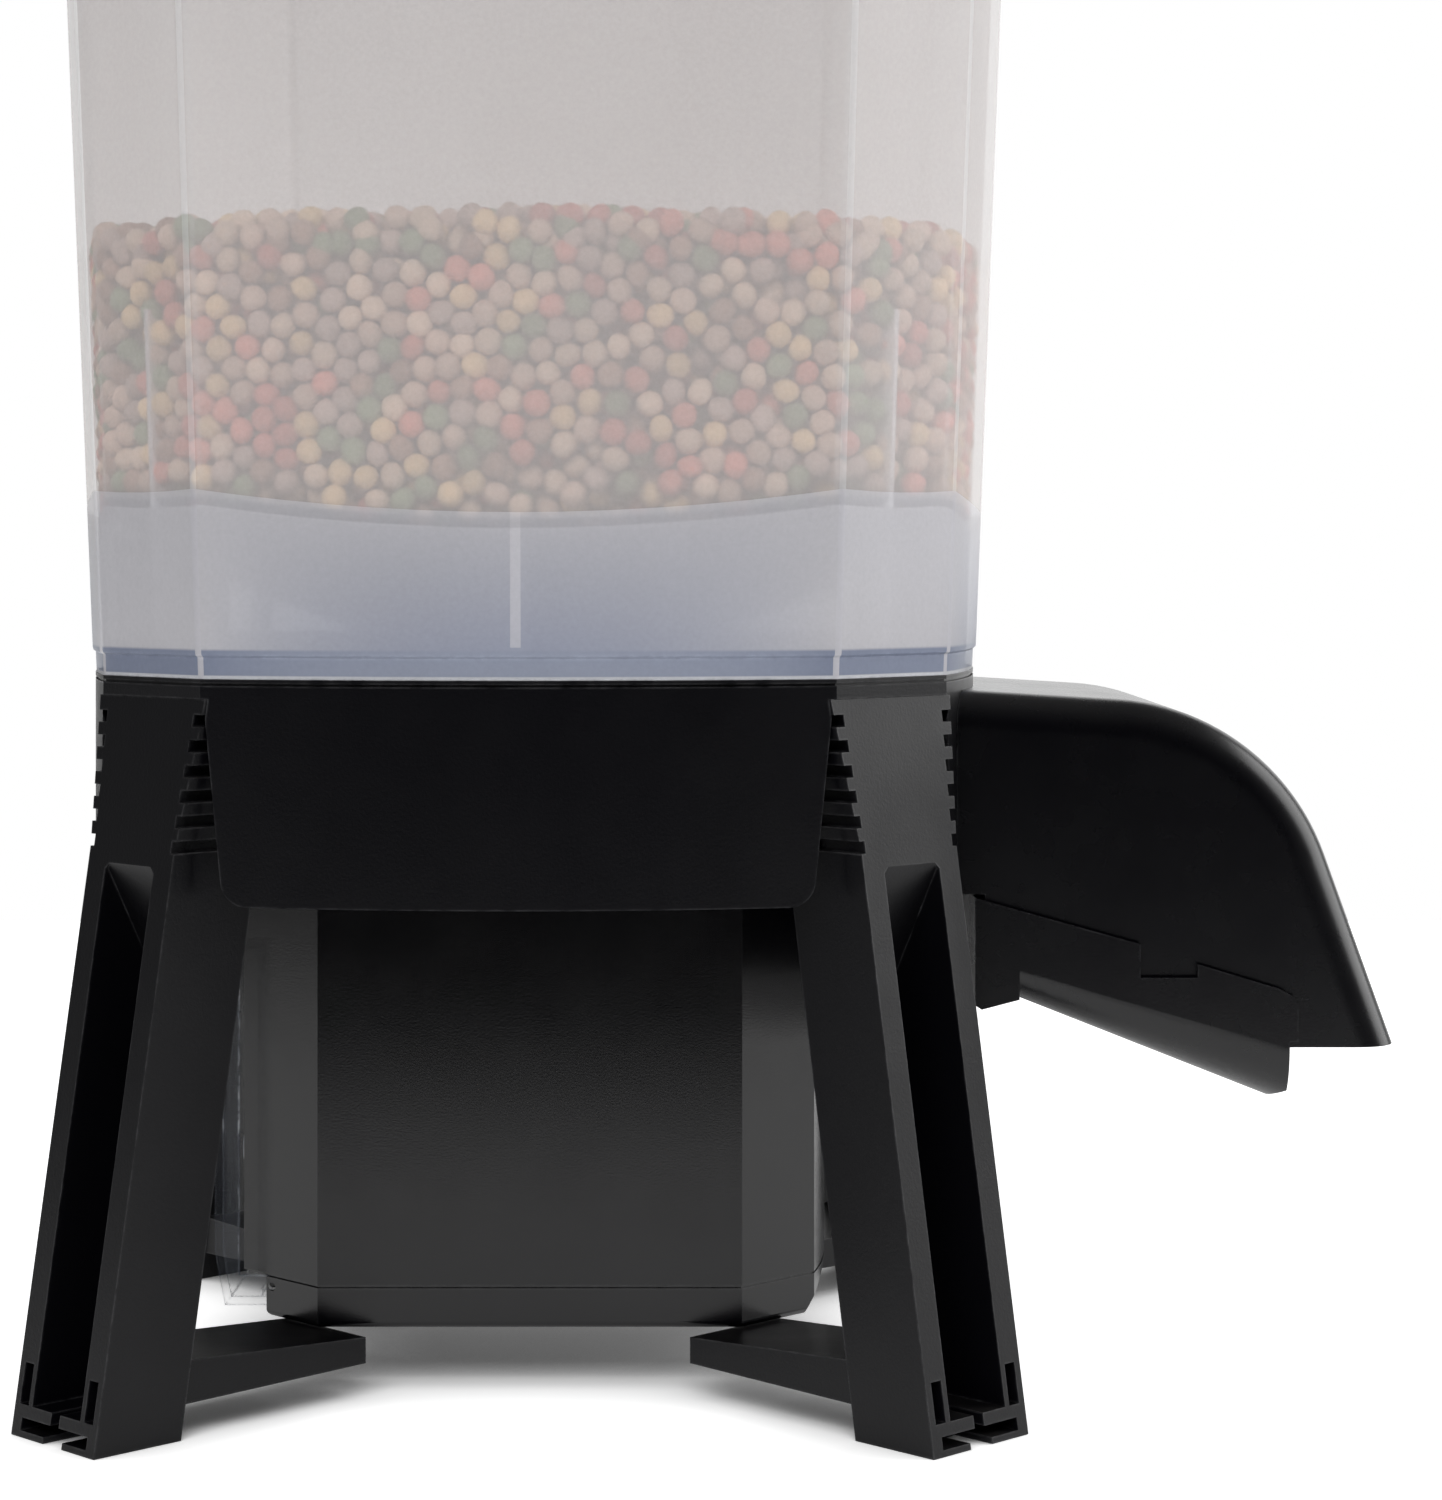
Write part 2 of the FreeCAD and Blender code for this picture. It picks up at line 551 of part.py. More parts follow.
def cell_places():
    """Plan positions of the four cells, with the way up of each."""
    places = []
    for i, sx in enumerate((-1, 1)):
        for j, sy in enumerate((-1, 1)):
            places.append((CELLS_X + sx * CELL_PITCH / 2, sy * CELL_PITCH / 2, (i + j) % 2 == 0))
    return places


def battery_tray():
    """Open tub round the four cells, standing on the cap's floor."""
    span = CELL_PITCH + CELL_R + 0.4 - CELL_PITCH / 2
    floor = Z_CAP + 2.6
    outer = box(CELLS_X - span - 1.6, CELLS_X + span + 1.6, -span - 1.6, span + 1.6, floor, CELL_Z + 40)
    return outer.cut(box(CELLS_X - span, CELLS_X + span, -span, span, floor + 2.0, CELL_Z + 41))


def battery_cells():
    """Four D cells, each a can with a raised positive button."""
    cells = []
    for x, y, up in cell_places():
        low, high = CELL_Z, CELL_Z + CELL_LENGTH
        can = rod(CELL_R, (x, y, low + 1.5), (x, y, high - 1.5))
        button_z = (high - 1.5, high) if up else (low, low + 1.5)
        cells.append(joined([can, rod(4.5, (x, y, button_z[0]), (x, y, button_z[1]))]))
    return Part.makeCompound(cells)


def contact_plates(z0, z1):
    """One plate at the end of each cell."""
    return [rod(7.0, (x, y, z0), (x, y, z1)) for x, y, _ in cell_places()]


def battery_contacts():
    """Plated contact discs at both ends of the cells: four below, four above."""
    floor = Z_CAP + 4.6
    top = CELL_Z + CELL_LENGTH + 4.9
    return Part.makeCompound(contact_plates(floor, floor + 0.5) + contact_plates(top - 0.5, top))


def battery_springs():
    """Conical contact springs, each as its closed outer shape."""
    springs = []
    for x, y, up in cell_places():
        low = Z_CAP + 5.1
        high = CELL_Z + (1.5 if up else 0.0)
        springs.append(Part.makeCone(6.5, 4.0, high - low, V(x, y, low)))
        base = CELL_Z + CELL_LENGTH - (0.0 if up else 1.5)
        top = CELL_Z + CELL_LENGTH + 4.4
        springs.append(Part.makeCone(4.0, 6.5, top - base, V(x, y, base)))
    return Part.makeCompound(springs)


def battery_top_plate():
    """Insulating plate over the cells that carries the upper contacts."""
    span = CELL_PITCH / 2 + CELL_R + 2.0
    z = CELL_Z + CELL_LENGTH + 4.9
    return box(CELLS_X - span, CELLS_X + span, -span, span, z, z + 2.0)


# ---------------------------------------------------------------- auger drive

def auger_trough():
    """Feed chute under the throat and the auger's tube out to the spout."""
    half = THROAT / 2
    skin = TUBE_WALL
    outside = rod(TUBE_R + skin, (TUBE_START, 0, AUGER_Z), (TUBE_END, 0, AUGER_Z))
    chute = front_prism(
        [(-half - skin, Z_DECK), (-TUBE_R - skin, 146), (-TUBE_R - skin, AUGER_Z),
         (TUBE_R + skin, AUGER_Z), (TUBE_R + skin, 146), (half + skin, Z_DECK)], -half - skin, half + skin)
    chute_space = front_prism(
        [(-half, Z_DECK + 1), (-TUBE_R, 146), (-TUBE_R, AUGER_Z), (TUBE_R, AUGER_Z), (TUBE_R, 146),
         (half, Z_DECK + 1)], -half, half)
    bore = rod(TUBE_R, (TUBE_START + 3, 0, AUGER_Z), (TUBE_END + 1, 0, AUGER_Z))
    hub_hole = rod(9.0, (TUBE_START - 1, 0, AUGER_Z), (TUBE_START + 5, 0, AUGER_Z))
    return joined([outside, chute]).cut([bore, chute_space, hub_hole])


def auger_bush():
    """Bearing bush in the end wall of the trough."""
    return tube(9.0, CORE_R + 1 + RUNNING, (TUBE_START, 0, AUGER_Z), (TUBE_START + 3, 0, AUGER_Z))


def shaft_seal():
    """Lip seal between the gearbox shaft and the trough."""
    return tube(9.0, SHAFT_R + RUNNING, (TUBE_START - 3, 0, AUGER_Z), (TUBE_START, 0, AUGER_Z))


def auger():
    """Feed screw: core with a helical flight, driven through a blind bore at its hub."""
    start, end = TUBE_START + 5.0, TUBE_END - 3.0
    flight_start = TUBE_START + 8.0
    thickness = 2.2
    length = end - flight_start - thickness
    helix = Part.makeHelix(AUGER_PITCH, length, CORE_R)
    root = CORE_R - 0.6
    corners = [V(root, 0, 0), V(AUGER_R, 0, 0), V(AUGER_R, 0, thickness), V(root, 0, thickness)]
    profile = Part.makePolygon(corners + corners[:1])
    flight = Part.Wire(helix.Edges).makePipeShell([profile], True, True)
    flight.rotate(V(0, 0, 0), V(0, 1, 0), 90)
    flight.translate(V(flight_start, 0, AUGER_Z))
    core = rod(CORE_R, (start, 0, AUGER_Z), (end, 0, AUGER_Z))
    hub = rod(CORE_R + 1, (TUBE_START, 0, AUGER_Z), (start, 0, AUGER_Z))
    nose = Part.makeCone(CORE_R, 1.5, 5, V(end, 0, AUGER_Z), V(1, 0, 0))
    bore = rod(SHAFT_R, (TUBE_START - 1, 0, AUGER_Z), (TUBE_START + 18, 0, AUGER_Z))
    return joined([core, hub, nose, flight]).cut(bore)


def drive_shaft():
    """Output shaft of the gearbox, pressed into the auger's hub."""
    return rod(SHAFT_R, (SHAFT_START, 0, AUGER_Z), (TUBE_START + 18, 0, AUGER_Z))


def gearbox():
    """Worm gearbox behind the trough, with a blind bore for its output shaft."""
    front = GEARBOX_X + GEARBOX_HALF
    case = box(GEARBOX_X - GEARBOX_HALF, front, -16, 16, AUGER_Z - 16, AUGER_Z + 16)
    case = case.makeFillet(2.0, edges_along(case, V(1, 0, 0), lambda m: True))
    boss = rod(9.0, (front - 1, 0, AUGER_Z), (TUBE_START - 3, 0, AUGER_Z))
    bore = rod(SHAFT_R + RUNNING, (SHAFT_START - RUNNING, 0, AUGER_Z), (TUBE_START, 0, AUGER_Z))
    return joined([case, boss]).cut(bore)


def motor_can():
    """Motor hanging under the gearbox."""
    can = rod(10.5, (GEARBOX_X, 0, AUGER_Z - 16), (GEARBOX_X, 0, AUGER_Z - 38))
    return joined([can, rod(4, (GEARBOX_X, 0, AUGER_Z - 38), (GEARBOX_X, 0, AUGER_Z - 40))])


def motor_bracket():
    """Bent plate that hangs the gearbox from the deck."""
    low_x, high_x = GEARBOX_X - GEARBOX_HALF, GEARBOX_X + GEARBOX_HALF
    top = box(low_x, high_x, 16, 26, Z_DECK - 2, Z_DECK)
    web = box(low_x, high_x, 16, 18, AUGER_Z - 14, Z_DECK)
    return joined([top, web])


def throat_seal():
    """Soft square ring between the deck and the hopper's throat."""
    half = THROAT / 2
    outer = box(-half - 2.8, half + 2.8, -half - 2.8, half + 2.8, Z_DECK + DECK, Z_SEAT)
    return outer.cut(box(-half, half, -half, half, Z_DECK, Z_SEAT + 1))


# ---------------------------------------------------------------- spout

def hood_profile(inset, z_low):
    """Face in the XZ plane of the hood's side: top line, large arc, front line and level mouth."""
    top_drop, front_run = -0.0611, 0.359
    top_x, top_z = 111.0, 164.4
    front_x, front_z = 185.8, 128.8
    top_dir = V(1, 0, top_drop).normalize()
    front_dir = V(front_run, 0, -1).normalize()
    top_in = V(top_dir.z, 0, -top_dir.x)
    front_in = V(front_dir.z, 0, -front_dir.x)
    start = V(top_x, 0, top_z) + top_in * inset
    lower = V(front_x, 0, front_z) + front_in * inset
    cross = top_dir.x * front_dir.z - top_dir.z * front_dir.x
    gap = lower - start
    corner = start + top_dir * ((gap.x * front_dir.z - gap.z * front_dir.x) / cross)
    radius = HOOD_ARC_R - inset
    half_turn = math.acos(top_dir.dot(front_dir)) / 2
    run = radius * math.tan(half_turn)
    arc_start, arc_end = corner - top_dir * run, corner + front_dir * run
    bisector = (front_dir - top_dir).normalize()
    arc_mid = corner + bisector * (radius / math.cos(half_turn) - radius)
    back = 90.0
    back_top = start + top_dir * ((back - start.x) / top_dir.x)
    mouth = arc_end + front_dir * ((z_low - arc_end.z) / front_dir.z)
    floor = V(back, 0, z_low)
    edges = [
        Part.LineSegment(back_top, arc_start).toShape(),
        Part.Arc(arc_start, arc_mid, arc_end).toShape(),
        Part.LineSegment(arc_end, mouth).toShape(),
        Part.LineSegment(mouth, floor).toShape(),
        Part.LineSegment(floor, back_top).toShape(),
    ]
    return Part.Face(Part.Wire(edges))


def hood_block(inset, z_low):
    """Solid of the hood with rounded shoulders, set in by a wall thickness."""
    half = HOOD_HALF - inset
    face = hood_profile(inset, z_low)
    face.translate(V(0, -half, 0))
    block = face.extrude(V(0, 2 * half, 0))
    shoulders = []
    for edge in block.Edges:
        mid = edge.valueAt((edge.FirstParameter + edge.LastParameter) / 2)
        if abs(abs(mid.y) - half) < 0.01 and mid.z > z_low + 1 and mid.x > 91:
            shoulders.append(edge)
    return block.makeFillet(HOOD_SHOULDER - inset, shoulders)


def spout_hood():
    """Curved hood over the spout, open below, scribed to the base's bulged wall."""
    shell = hood_block(0.0, Z_MOUTH).cut(hood_block(HOOD_WALL, Z_MOUTH - 1))
    lower_cut = side_prism(
        [(80, 60), (80, 117.6), (106.5, 117.6), (106.5, 110.6), (142, 100.5), (143, 93), (155, 91),
         (176.6, 86.5), (176.6, 60)], -70, 70)
    lugs = []
    for y, z in hood_screw_places():
        inner_y, outer_y = sorted((y - math.copysign(5, y), math.copysign(HOOD_HALF - 2, y)))
        lugs.append(box(96, 116, inner_y, outer_y, z - 5, z + 5))
    inside = hood_block(1.0, Z_MOUTH)
    body = joined([shell.cut(lower_cut)] + [lug.common(inside) for lug in lugs])
    cutters = [octagon_prism(60, 200, 0.5)]
    cutters += [rod(SCREW_R, (90, y, z), (114, y, z)) for y, z in hood_screw_places()]
    return body.cut(cutters)


def hood_screws():
    """Four screws from inside the base into the hood's lugs."""
    screws = []
    for y, z in hood_screw_places():
        inner = wall_x(abs(y) + 3.2) - WALL - 0.6
        shank = rod(SCREW_R, (inner - 0.5, y, z), (113, y, z))
        screws.append(joined([shank, rod(3.1, (inner - 2.2, y, z), (inner, y, z))]))
    return Part.makeCompound(screws)


def wall_x(y):
    """X of the base's outer wall surface at a distance y from the middle."""
    wall_r = (FACE_HALF ** 2 + BULGE ** 2) / (2 * BULGE)
    return CORNER + BULGE - wall_r + math.sqrt((wall_r - 0.5) ** 2 - y ** 2)


def trough_section(x, half, low, radius):
    """Closed wire at one X: straight sides with rounded lower corners."""
    high, bend = 130.0, radius * math.sqrt(0.5)
    edges = []
    for side in (1, -1):
        top, start = V(x, side * half, high), V(x, side * half, low + radius)
        middle = V(x, side * (half - radius + bend), low + radius - bend)
        end = V(x, side * (half - radius), low)
        wall, corner = Part.LineSegment(top, start).toShape(), Part.Arc(start, middle, end).toShape()
        edges.append([wall, corner, top, end])
    right, left = edges
    floor = Part.LineSegment(right[3], left[3]).toShape()
    lid_line = Part.LineSegment(left[2], right[2]).toShape()
    return Part.Wire([right[0], right[1], floor, left[1], left[0], lid_line])


def trough_block(half, thinner, rise):
    """Solid over the tray's sloping floor whose lower corners round off more towards the mouth."""
    sections = []
    for x, radius in ((FLOOR_START, 7.0), (184.0, 15.0)):
        low = FLOOR_HIGH - (x - FLOOR_START) * FLOOR_FALL + rise
        sections.append(trough_section(x, half, low, radius - thinner))
    return Part.makeLoft(sections, True, True)


def spout_tray():
    """Clip-on tray under the hood: sloping rounded floor, two side walls with clip notches, back wall."""
    top_edge = [(104.0, 116.9), (142.4, 106.2), (142.4, 98.4), (155.6, 98.4), (155.6, 101.6), (174.8, 95.8),
                (178.0, 94.0), (179.0, 91.6), (179.0, 83.5), (177.0, 83.5), (177.0, 71.5), (173.0, 69.6)]
    floor_back = [(FLOOR_START, FLOOR_HIGH), (105.5, 91.0)]
    half = HOOD_HALF + TRAY_GAP + TRAY_WALL
    inner = HOOD_HALF + TRAY_GAP
    behind = box(100, FLOOR_START, -70, 70, 60, 130)
    block = side_prism(top_edge + floor_back + [(104.0, 92.0)], -half, half)
    block = block.common(joined([trough_block(half, 0.0, 0.0), behind]))
    hollow = side_prism(
        [(106.0, 129), (183, 129), (183, 60), (114.6, 60), (114.6, 95.4), (106.0, 93.2)], -inner, inner)
    return block.cut(hollow.common(joined([trough_block(inner, TRAY_WALL, 1.75), behind])))


# ---------------------------------------------------------------- writing the parts

def pieces():
    """Name and shape of every node."""
    nodes = {
        "hopper": hopper(), "hopper_funnel": hopper_funnel(), "lid": lid(), "lid_seal": lid_seal(),
        "base_housing": base_housing(), "throat_seal": throat_seal(), "leg_screws": leg_screws(),
        "control_box": control_box(),
        "control_box_cap": control_box_cap(), "cap_screws": cap_screws(), "deck_screws": deck_screws(),
        "clear_cover": clear_cover(), "cover_hinge_pin": cover_hinge_pin(),
        "control_fascia": control_fascia(),
        "display_lens": display_lens(), "display_module": display_module(), "circuit_board": circuit_board(),
        "button_switches": button_switches(), "battery_tray": battery_tray(),
        "battery_cells": battery_cells(),
        "battery_contacts": battery_contacts(), "battery_springs": battery_springs(),
        "battery_top_plate": battery_top_plate(), "auger_trough": auger_trough(), "auger_bush": auger_bush(),
        "shaft_seal": shaft_seal(), "auger": auger(), "drive_shaft": drive_shaft(), "gearbox": gearbox(),
        "motor_can": motor_can(), "motor_bracket": motor_bracket(), "spout_hood": spout_hood(),
        "hood_screws": hood_screws(), "spout_tray": spout_tray(),
    }
    leg_names = ("leg_rear_right", "leg_rear_left", "leg_front_left", "leg_front_right")
    for name, shape in zip(leg_names, quarter_turns(leg(), 45.0)):
        nodes[name] = shape
    for name, y in zip(("button_menu", "button_down", "button_up", "button_enter"), BUTTON_YS):
        nodes[name] = button(y)
    return nodes


def main():
    """Write one STEP file for each node and print what it holds."""
    os.makedirs("parts", exist_ok=True)
    for name, shape in pieces().items():
        shape.exportStep(f"parts/{name}.step")
        volume = shape.Volume / 1000
        print(f"{name:20s} solids {len(shape.Solids):2d} valid {shape.isValid()} volume {volume:.1f} cm3")


main()
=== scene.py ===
"""Automatic pond fish feeder: finishes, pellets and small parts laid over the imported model.

Lengths are metres unless a name says otherwise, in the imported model's own frame: Z up from the ground,
+X towards the spout, -X towards the control panel, -Y the front.
"""
import sys
import logging
import math
from dataclasses import dataclass, field
from enum import Enum
from typing import Callable, Sequence

import bmesh
import bpy
import numpy as np
from mathutils import Matrix, Vector


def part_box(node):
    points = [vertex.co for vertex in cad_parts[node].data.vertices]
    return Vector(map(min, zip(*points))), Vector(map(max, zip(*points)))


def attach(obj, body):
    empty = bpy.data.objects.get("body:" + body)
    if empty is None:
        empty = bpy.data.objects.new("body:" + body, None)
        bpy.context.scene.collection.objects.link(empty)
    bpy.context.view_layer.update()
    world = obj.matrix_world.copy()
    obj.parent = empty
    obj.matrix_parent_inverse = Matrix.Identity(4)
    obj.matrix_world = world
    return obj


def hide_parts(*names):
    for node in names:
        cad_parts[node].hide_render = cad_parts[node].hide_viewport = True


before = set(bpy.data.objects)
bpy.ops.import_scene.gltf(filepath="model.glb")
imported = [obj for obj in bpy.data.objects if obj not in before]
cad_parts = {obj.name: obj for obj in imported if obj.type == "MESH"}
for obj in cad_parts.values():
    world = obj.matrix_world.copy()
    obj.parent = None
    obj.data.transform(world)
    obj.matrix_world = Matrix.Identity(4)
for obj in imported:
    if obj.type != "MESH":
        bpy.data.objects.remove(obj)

LOG = logging.getLogger("pond_feeder")
MM = 0.001
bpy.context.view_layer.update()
Colour = tuple[float, float, float]


class Body(Enum):
    """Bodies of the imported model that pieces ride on."""

    BASE = "base"
    HOPPER = "hopper"
    LID = "lid"
    COVER = "cover"
    TRAY = "tray"
    MENU = "button_menu"
    DOWN = "button_down"
    UP = "button_up"
    ENTER = "button_enter"


class Slot(Enum):
    """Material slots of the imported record."""

    FROSTED = "frosted_pp"
    BLACK = "black_moulding"
    CASING = "black_casing"
    CLEAR = "clear_cover"
    SEAL = "grey_seal"
    SCREW = "zinc_screw"
    BUTTON = "button_rubber"
    DISPLAY = "display_glass"
    CONTACT = "nickel_contact"


# ---------------------------------------------------------------- node trees

class Nodes:
    """Short hand for adding nodes to one tree and joining them up."""

    def __init__(self, tree: bpy.types.NodeTree) -> None:
        """Keep the tree.

        Args:
            tree: The node tree that the nodes go into.
        """
        self.tree = tree

    def add(self, kind: str, /, settings: dict | None = None, **values: object) -> bpy.types.Node:
        """Add a node.

        Args:
            kind: The node's type name.
            settings: Attributes of the node itself, such as its operation.
            values: Input values by socket name, with spaces written as underscores; a socket or node is
                linked.

        Returns:
            The new node.
        """
        node = self.tree.nodes.new(kind)
        for key, value in (settings or {}).items():
            setattr(node, key, value)
        for key, value in values.items():
            self.put(node, key.replace("_", " "), value)
        return node

    def put(self, node: bpy.types.Node, key: str | int, value: object) -> None:
        """Set or link one input of a node.

        Args:
            node: The node to change.
            key: The input's name or index.
            value: A plain value, an output socket, or a node whose first output is used.
        """
        socket = node.inputs[key]
        if isinstance(value, bpy.types.Node):
            value = value.outputs[0]
        if isinstance(value, bpy.types.NodeSocket):
            self.tree.links.new(value, socket)
        else:
            socket.default_value = value

    def math(self, operation: str, first: object, second: object = 0.0,
             clamp: bool = False) -> bpy.types.Node:
        """Add a math node.

        Args:
            operation: Name of the operation.
            first: First value or socket.
            second: Second value or socket.
            clamp: Keep the result between 0 and 1.

        Returns:
            The math node.
        """
        node = self.tree.nodes.new("ShaderNodeMath")
        node.operation, node.use_clamp = operation, clamp
        self.put(node, 0, first)
        self.put(node, 1, second)
        return node

    def span(self, value: object, low: float, high: float, to_low: float = 0.0,
             to_high: float = 1.0) -> bpy.types.Node:
        """Map a value from one range to another, clamped.

        Args:
            value: Socket to map.
            low: Start of the range it comes from.
            high: End of the range it comes from.
            to_low: Start of the new range.
            to_high: End of the new range.

        Returns:
            The map range node.
        """
        return self.add("ShaderNodeMapRange", Value=value, From_Min=low, From_Max=high, To_Min=to_low,
                        To_Max=to_high)

    def mix(self, amount: object, first: object, second: object,
            blend: str = "MIX") -> bpy.types.NodeSocket:
        """Mix two colours.

        Args:
            amount: Share of the second colour.
            first: First colour or socket.
            second: Second colour or socket.
            blend: Blend type.

        Returns:
            The mixed colour's socket.
        """
        node = self.tree.nodes.new("ShaderNodeMix")
        node.data_type, node.blend_type = "RGBA", blend
        self.put(node, 0, amount)
        self.put(node, 6, first if not isinstance(first, tuple) else (*first, 1.0))
        self.put(node, 7, second if not isinstance(second, tuple) else (*second, 1.0))
        return node.outputs[2]

    def noise(self, where: object, scale: object, detail: float = 2.0,
              roughness: float = 0.5) -> bpy.types.Node:
        """Add a noise texture.

        Args:
            where: Coordinates.
            scale: Cells per metre.
            detail: Octaves.
            roughness: How strong the fine octaves are.

        Returns:
            The noise node; its first output is the value.
        """
        return self.add("ShaderNodeTexNoise", Vector=where, Scale=scale, Detail=detail,
                        Roughness=roughness)


def shader_group(name: str, inputs: dict[str, float], outputs: dict[str, str],
                 fill: Callable[[Nodes, bpy.types.Node, bpy.types.Node], None]) -> bpy.types.NodeTree:
    """Build a shared shader effect once.

    Args:
        name: The group's name.
        inputs: Default of each number input.
        outputs: Socket type of each output.
        fill: Function that makes the nodes between the group's input and output nodes.

    Returns:
        The node group.
    """
    known = bpy.data.node_groups.get(name)
    if known:
        return known
    tree = bpy.data.node_groups.new(name, "ShaderNodeTree")
    for key, value in inputs.items():
        tree.interface.new_socket(key, in_out="INPUT", socket_type="NodeSocketFloat").default_value = value
    for key, kind in outputs.items():
        tree.interface.new_socket(key, in_out="OUTPUT", socket_type=kind)
    nodes = Nodes(tree)
    fill(nodes, nodes.add("NodeGroupInput"), nodes.add("NodeGroupOutput"))
    return tree


def moulded_grain() -> bpy.types.NodeTree:
    """Give the spark-eroded grain and slow flow tone of a moulded plastic.

    Returns:
        Group with Height, Shade and Gloss, each from 0 to 1.
    """
    def fill(nodes: Nodes, given: bpy.types.Node, result: bpy.types.Node) -> None:
        """Lay fine cells over a slow, stretched flow pattern."""
        where = nodes.add("ShaderNodeTexCoord").outputs["Object"]
        fine = nodes.noise(where, given.outputs["Fineness"], 3.0, 0.62)
        drawn = nodes.add("ShaderNodeMapping", Vector=where, Scale=(1.0, 1.0, 0.35))
        flow = nodes.noise(drawn, given.outputs["Flow"], 3.0, 0.55)
        soft = nodes.noise(where, given.outputs["Patch"], 4.0, 0.6)
        nodes.put(result, "Height", fine)
        nodes.put(result, "Shade", nodes.span(nodes.math("ADD", nodes.math("MULTIPLY", flow, 0.7),
                                                         nodes.math("MULTIPLY", fine, 0.3)), 0.32, 0.68))
        nodes.put(result, "Gloss", nodes.span(soft, 0.3, 0.7))
    return shader_group("moulded_grain", {"Fineness": 1500.0, "Flow": 22.0, "Patch": 60.0},
                        {"Height": "NodeSocketFloat", "Shade": "NodeSocketFloat",
                         "Gloss": "NodeSocketFloat"}, fill)


def painted_edge_mask() -> bpy.types.NodeTree:
    """Find a piece's sharp edges, broken up with noise, for a colour painted along them, mostly a painted
    highlight.

    Returns:
        Group with one mask, Edge.
    """
    def fill(nodes: Nodes, given: bpy.types.Node, result: bpy.types.Node) -> None:
        """Compare the face normal with the one of a rounded edge."""
        rounded = nodes.add("ShaderNodeBevel", {"samples": 4}, Radius=given.outputs["Radius"])
        normal = nodes.add("ShaderNodeNewGeometry").outputs["Normal"]
        dot = nodes.add("ShaderNodeVectorMath", {"operation": "DOT_PRODUCT"})
        nodes.put(dot, 0, rounded)
        nodes.put(dot, 1, normal)
        turned = nodes.span(dot.outputs["Value"], 0.995, 0.86)
        where = nodes.add("ShaderNodeTexCoord").outputs["Object"]
        broken = nodes.span(nodes.noise(where, 240.0, 4.0, 0.7), 0.35, 0.62)
        nodes.put(result, "Edge", nodes.math("MULTIPLY", turned, broken, True))
    return shader_group("painted_edge_mask", {"Radius": 0.0008}, {"Edge": "NodeSocketFloat"}, fill)


def settled_dust() -> bpy.types.NodeTree:
    """Dust and pellet crumbs that settle on faces that look up.

    Returns:
        Group with one mask, Dust.
    """
    def fill(nodes: Nodes, given: bpy.types.Node, result: bpy.types.Node) -> None:
        """Let upward faces catch a patchy film and specks."""
        geometry = nodes.add("ShaderNodeNewGeometry")
        up = nodes.add("ShaderNodeSeparateXYZ", Vector=geometry.outputs["Normal"]).outputs["Z"]
        lying = nodes.span(up, 0.35, 0.95)
        where = nodes.add("ShaderNodeTexCoord").outputs["Object"]
        film = nodes.span(nodes.noise(where, 34.0, 5.0, 0.65), 0.42, 0.72)
        specks = nodes.span(nodes.noise(where, 900.0, 1.0), 0.70, 0.76)
        both = nodes.math("ADD", film, nodes.math("MULTIPLY", specks, 0.6))
        shown = nodes.math("MULTIPLY", both, lying)
        nodes.put(result, "Dust", nodes.math("MULTIPLY", shown, given.outputs["Amount"], True))
    return shader_group("settled_dust", {"Amount": 0.2}, {"Dust": "NodeSocketFloat"}, fill)


def drawn_lines() -> bpy.types.NodeTree:
    """Fine lines of turned, drawn or brushed metal.

    Returns:
        Group with Height and Tone, each from 0 to 1.
    """
    def fill(nodes: Nodes, given: bpy.types.Node, result: bpy.types.Node) -> None:
        """Stretch noise along the piece's height."""
        where = nodes.add("ShaderNodeTexCoord").outputs["Object"]
        drawn = nodes.add("ShaderNodeMapping", Vector=where, Scale=(1.0, 1.0, 0.04))
        lines = nodes.noise(drawn, given.outputs["Fineness"], 3.0, 0.6)
        cloud = nodes.noise(where, 140.0, 3.0, 0.6)
        nodes.put(result, "Height", lines)
        nodes.put(result, "Tone", nodes.span(cloud, 0.3, 0.7))
    return shader_group("drawn_lines", {"Fineness": 2600.0},
                        {"Height": "NodeSocketFloat", "Tone": "NodeSocketFloat"}, fill)


# ---------------------------------------------------------------- finishes

def scaled(colour: Colour, factor: float) -> Colour:
    """Scale a colour.

    Args:
        colour: Linear colour.
        factor: Multiplier of each channel.

    Returns:
        The scaled colour, kept at 1 or less.
    """
    return tuple(min(1.0, channel * factor) for channel in colour)


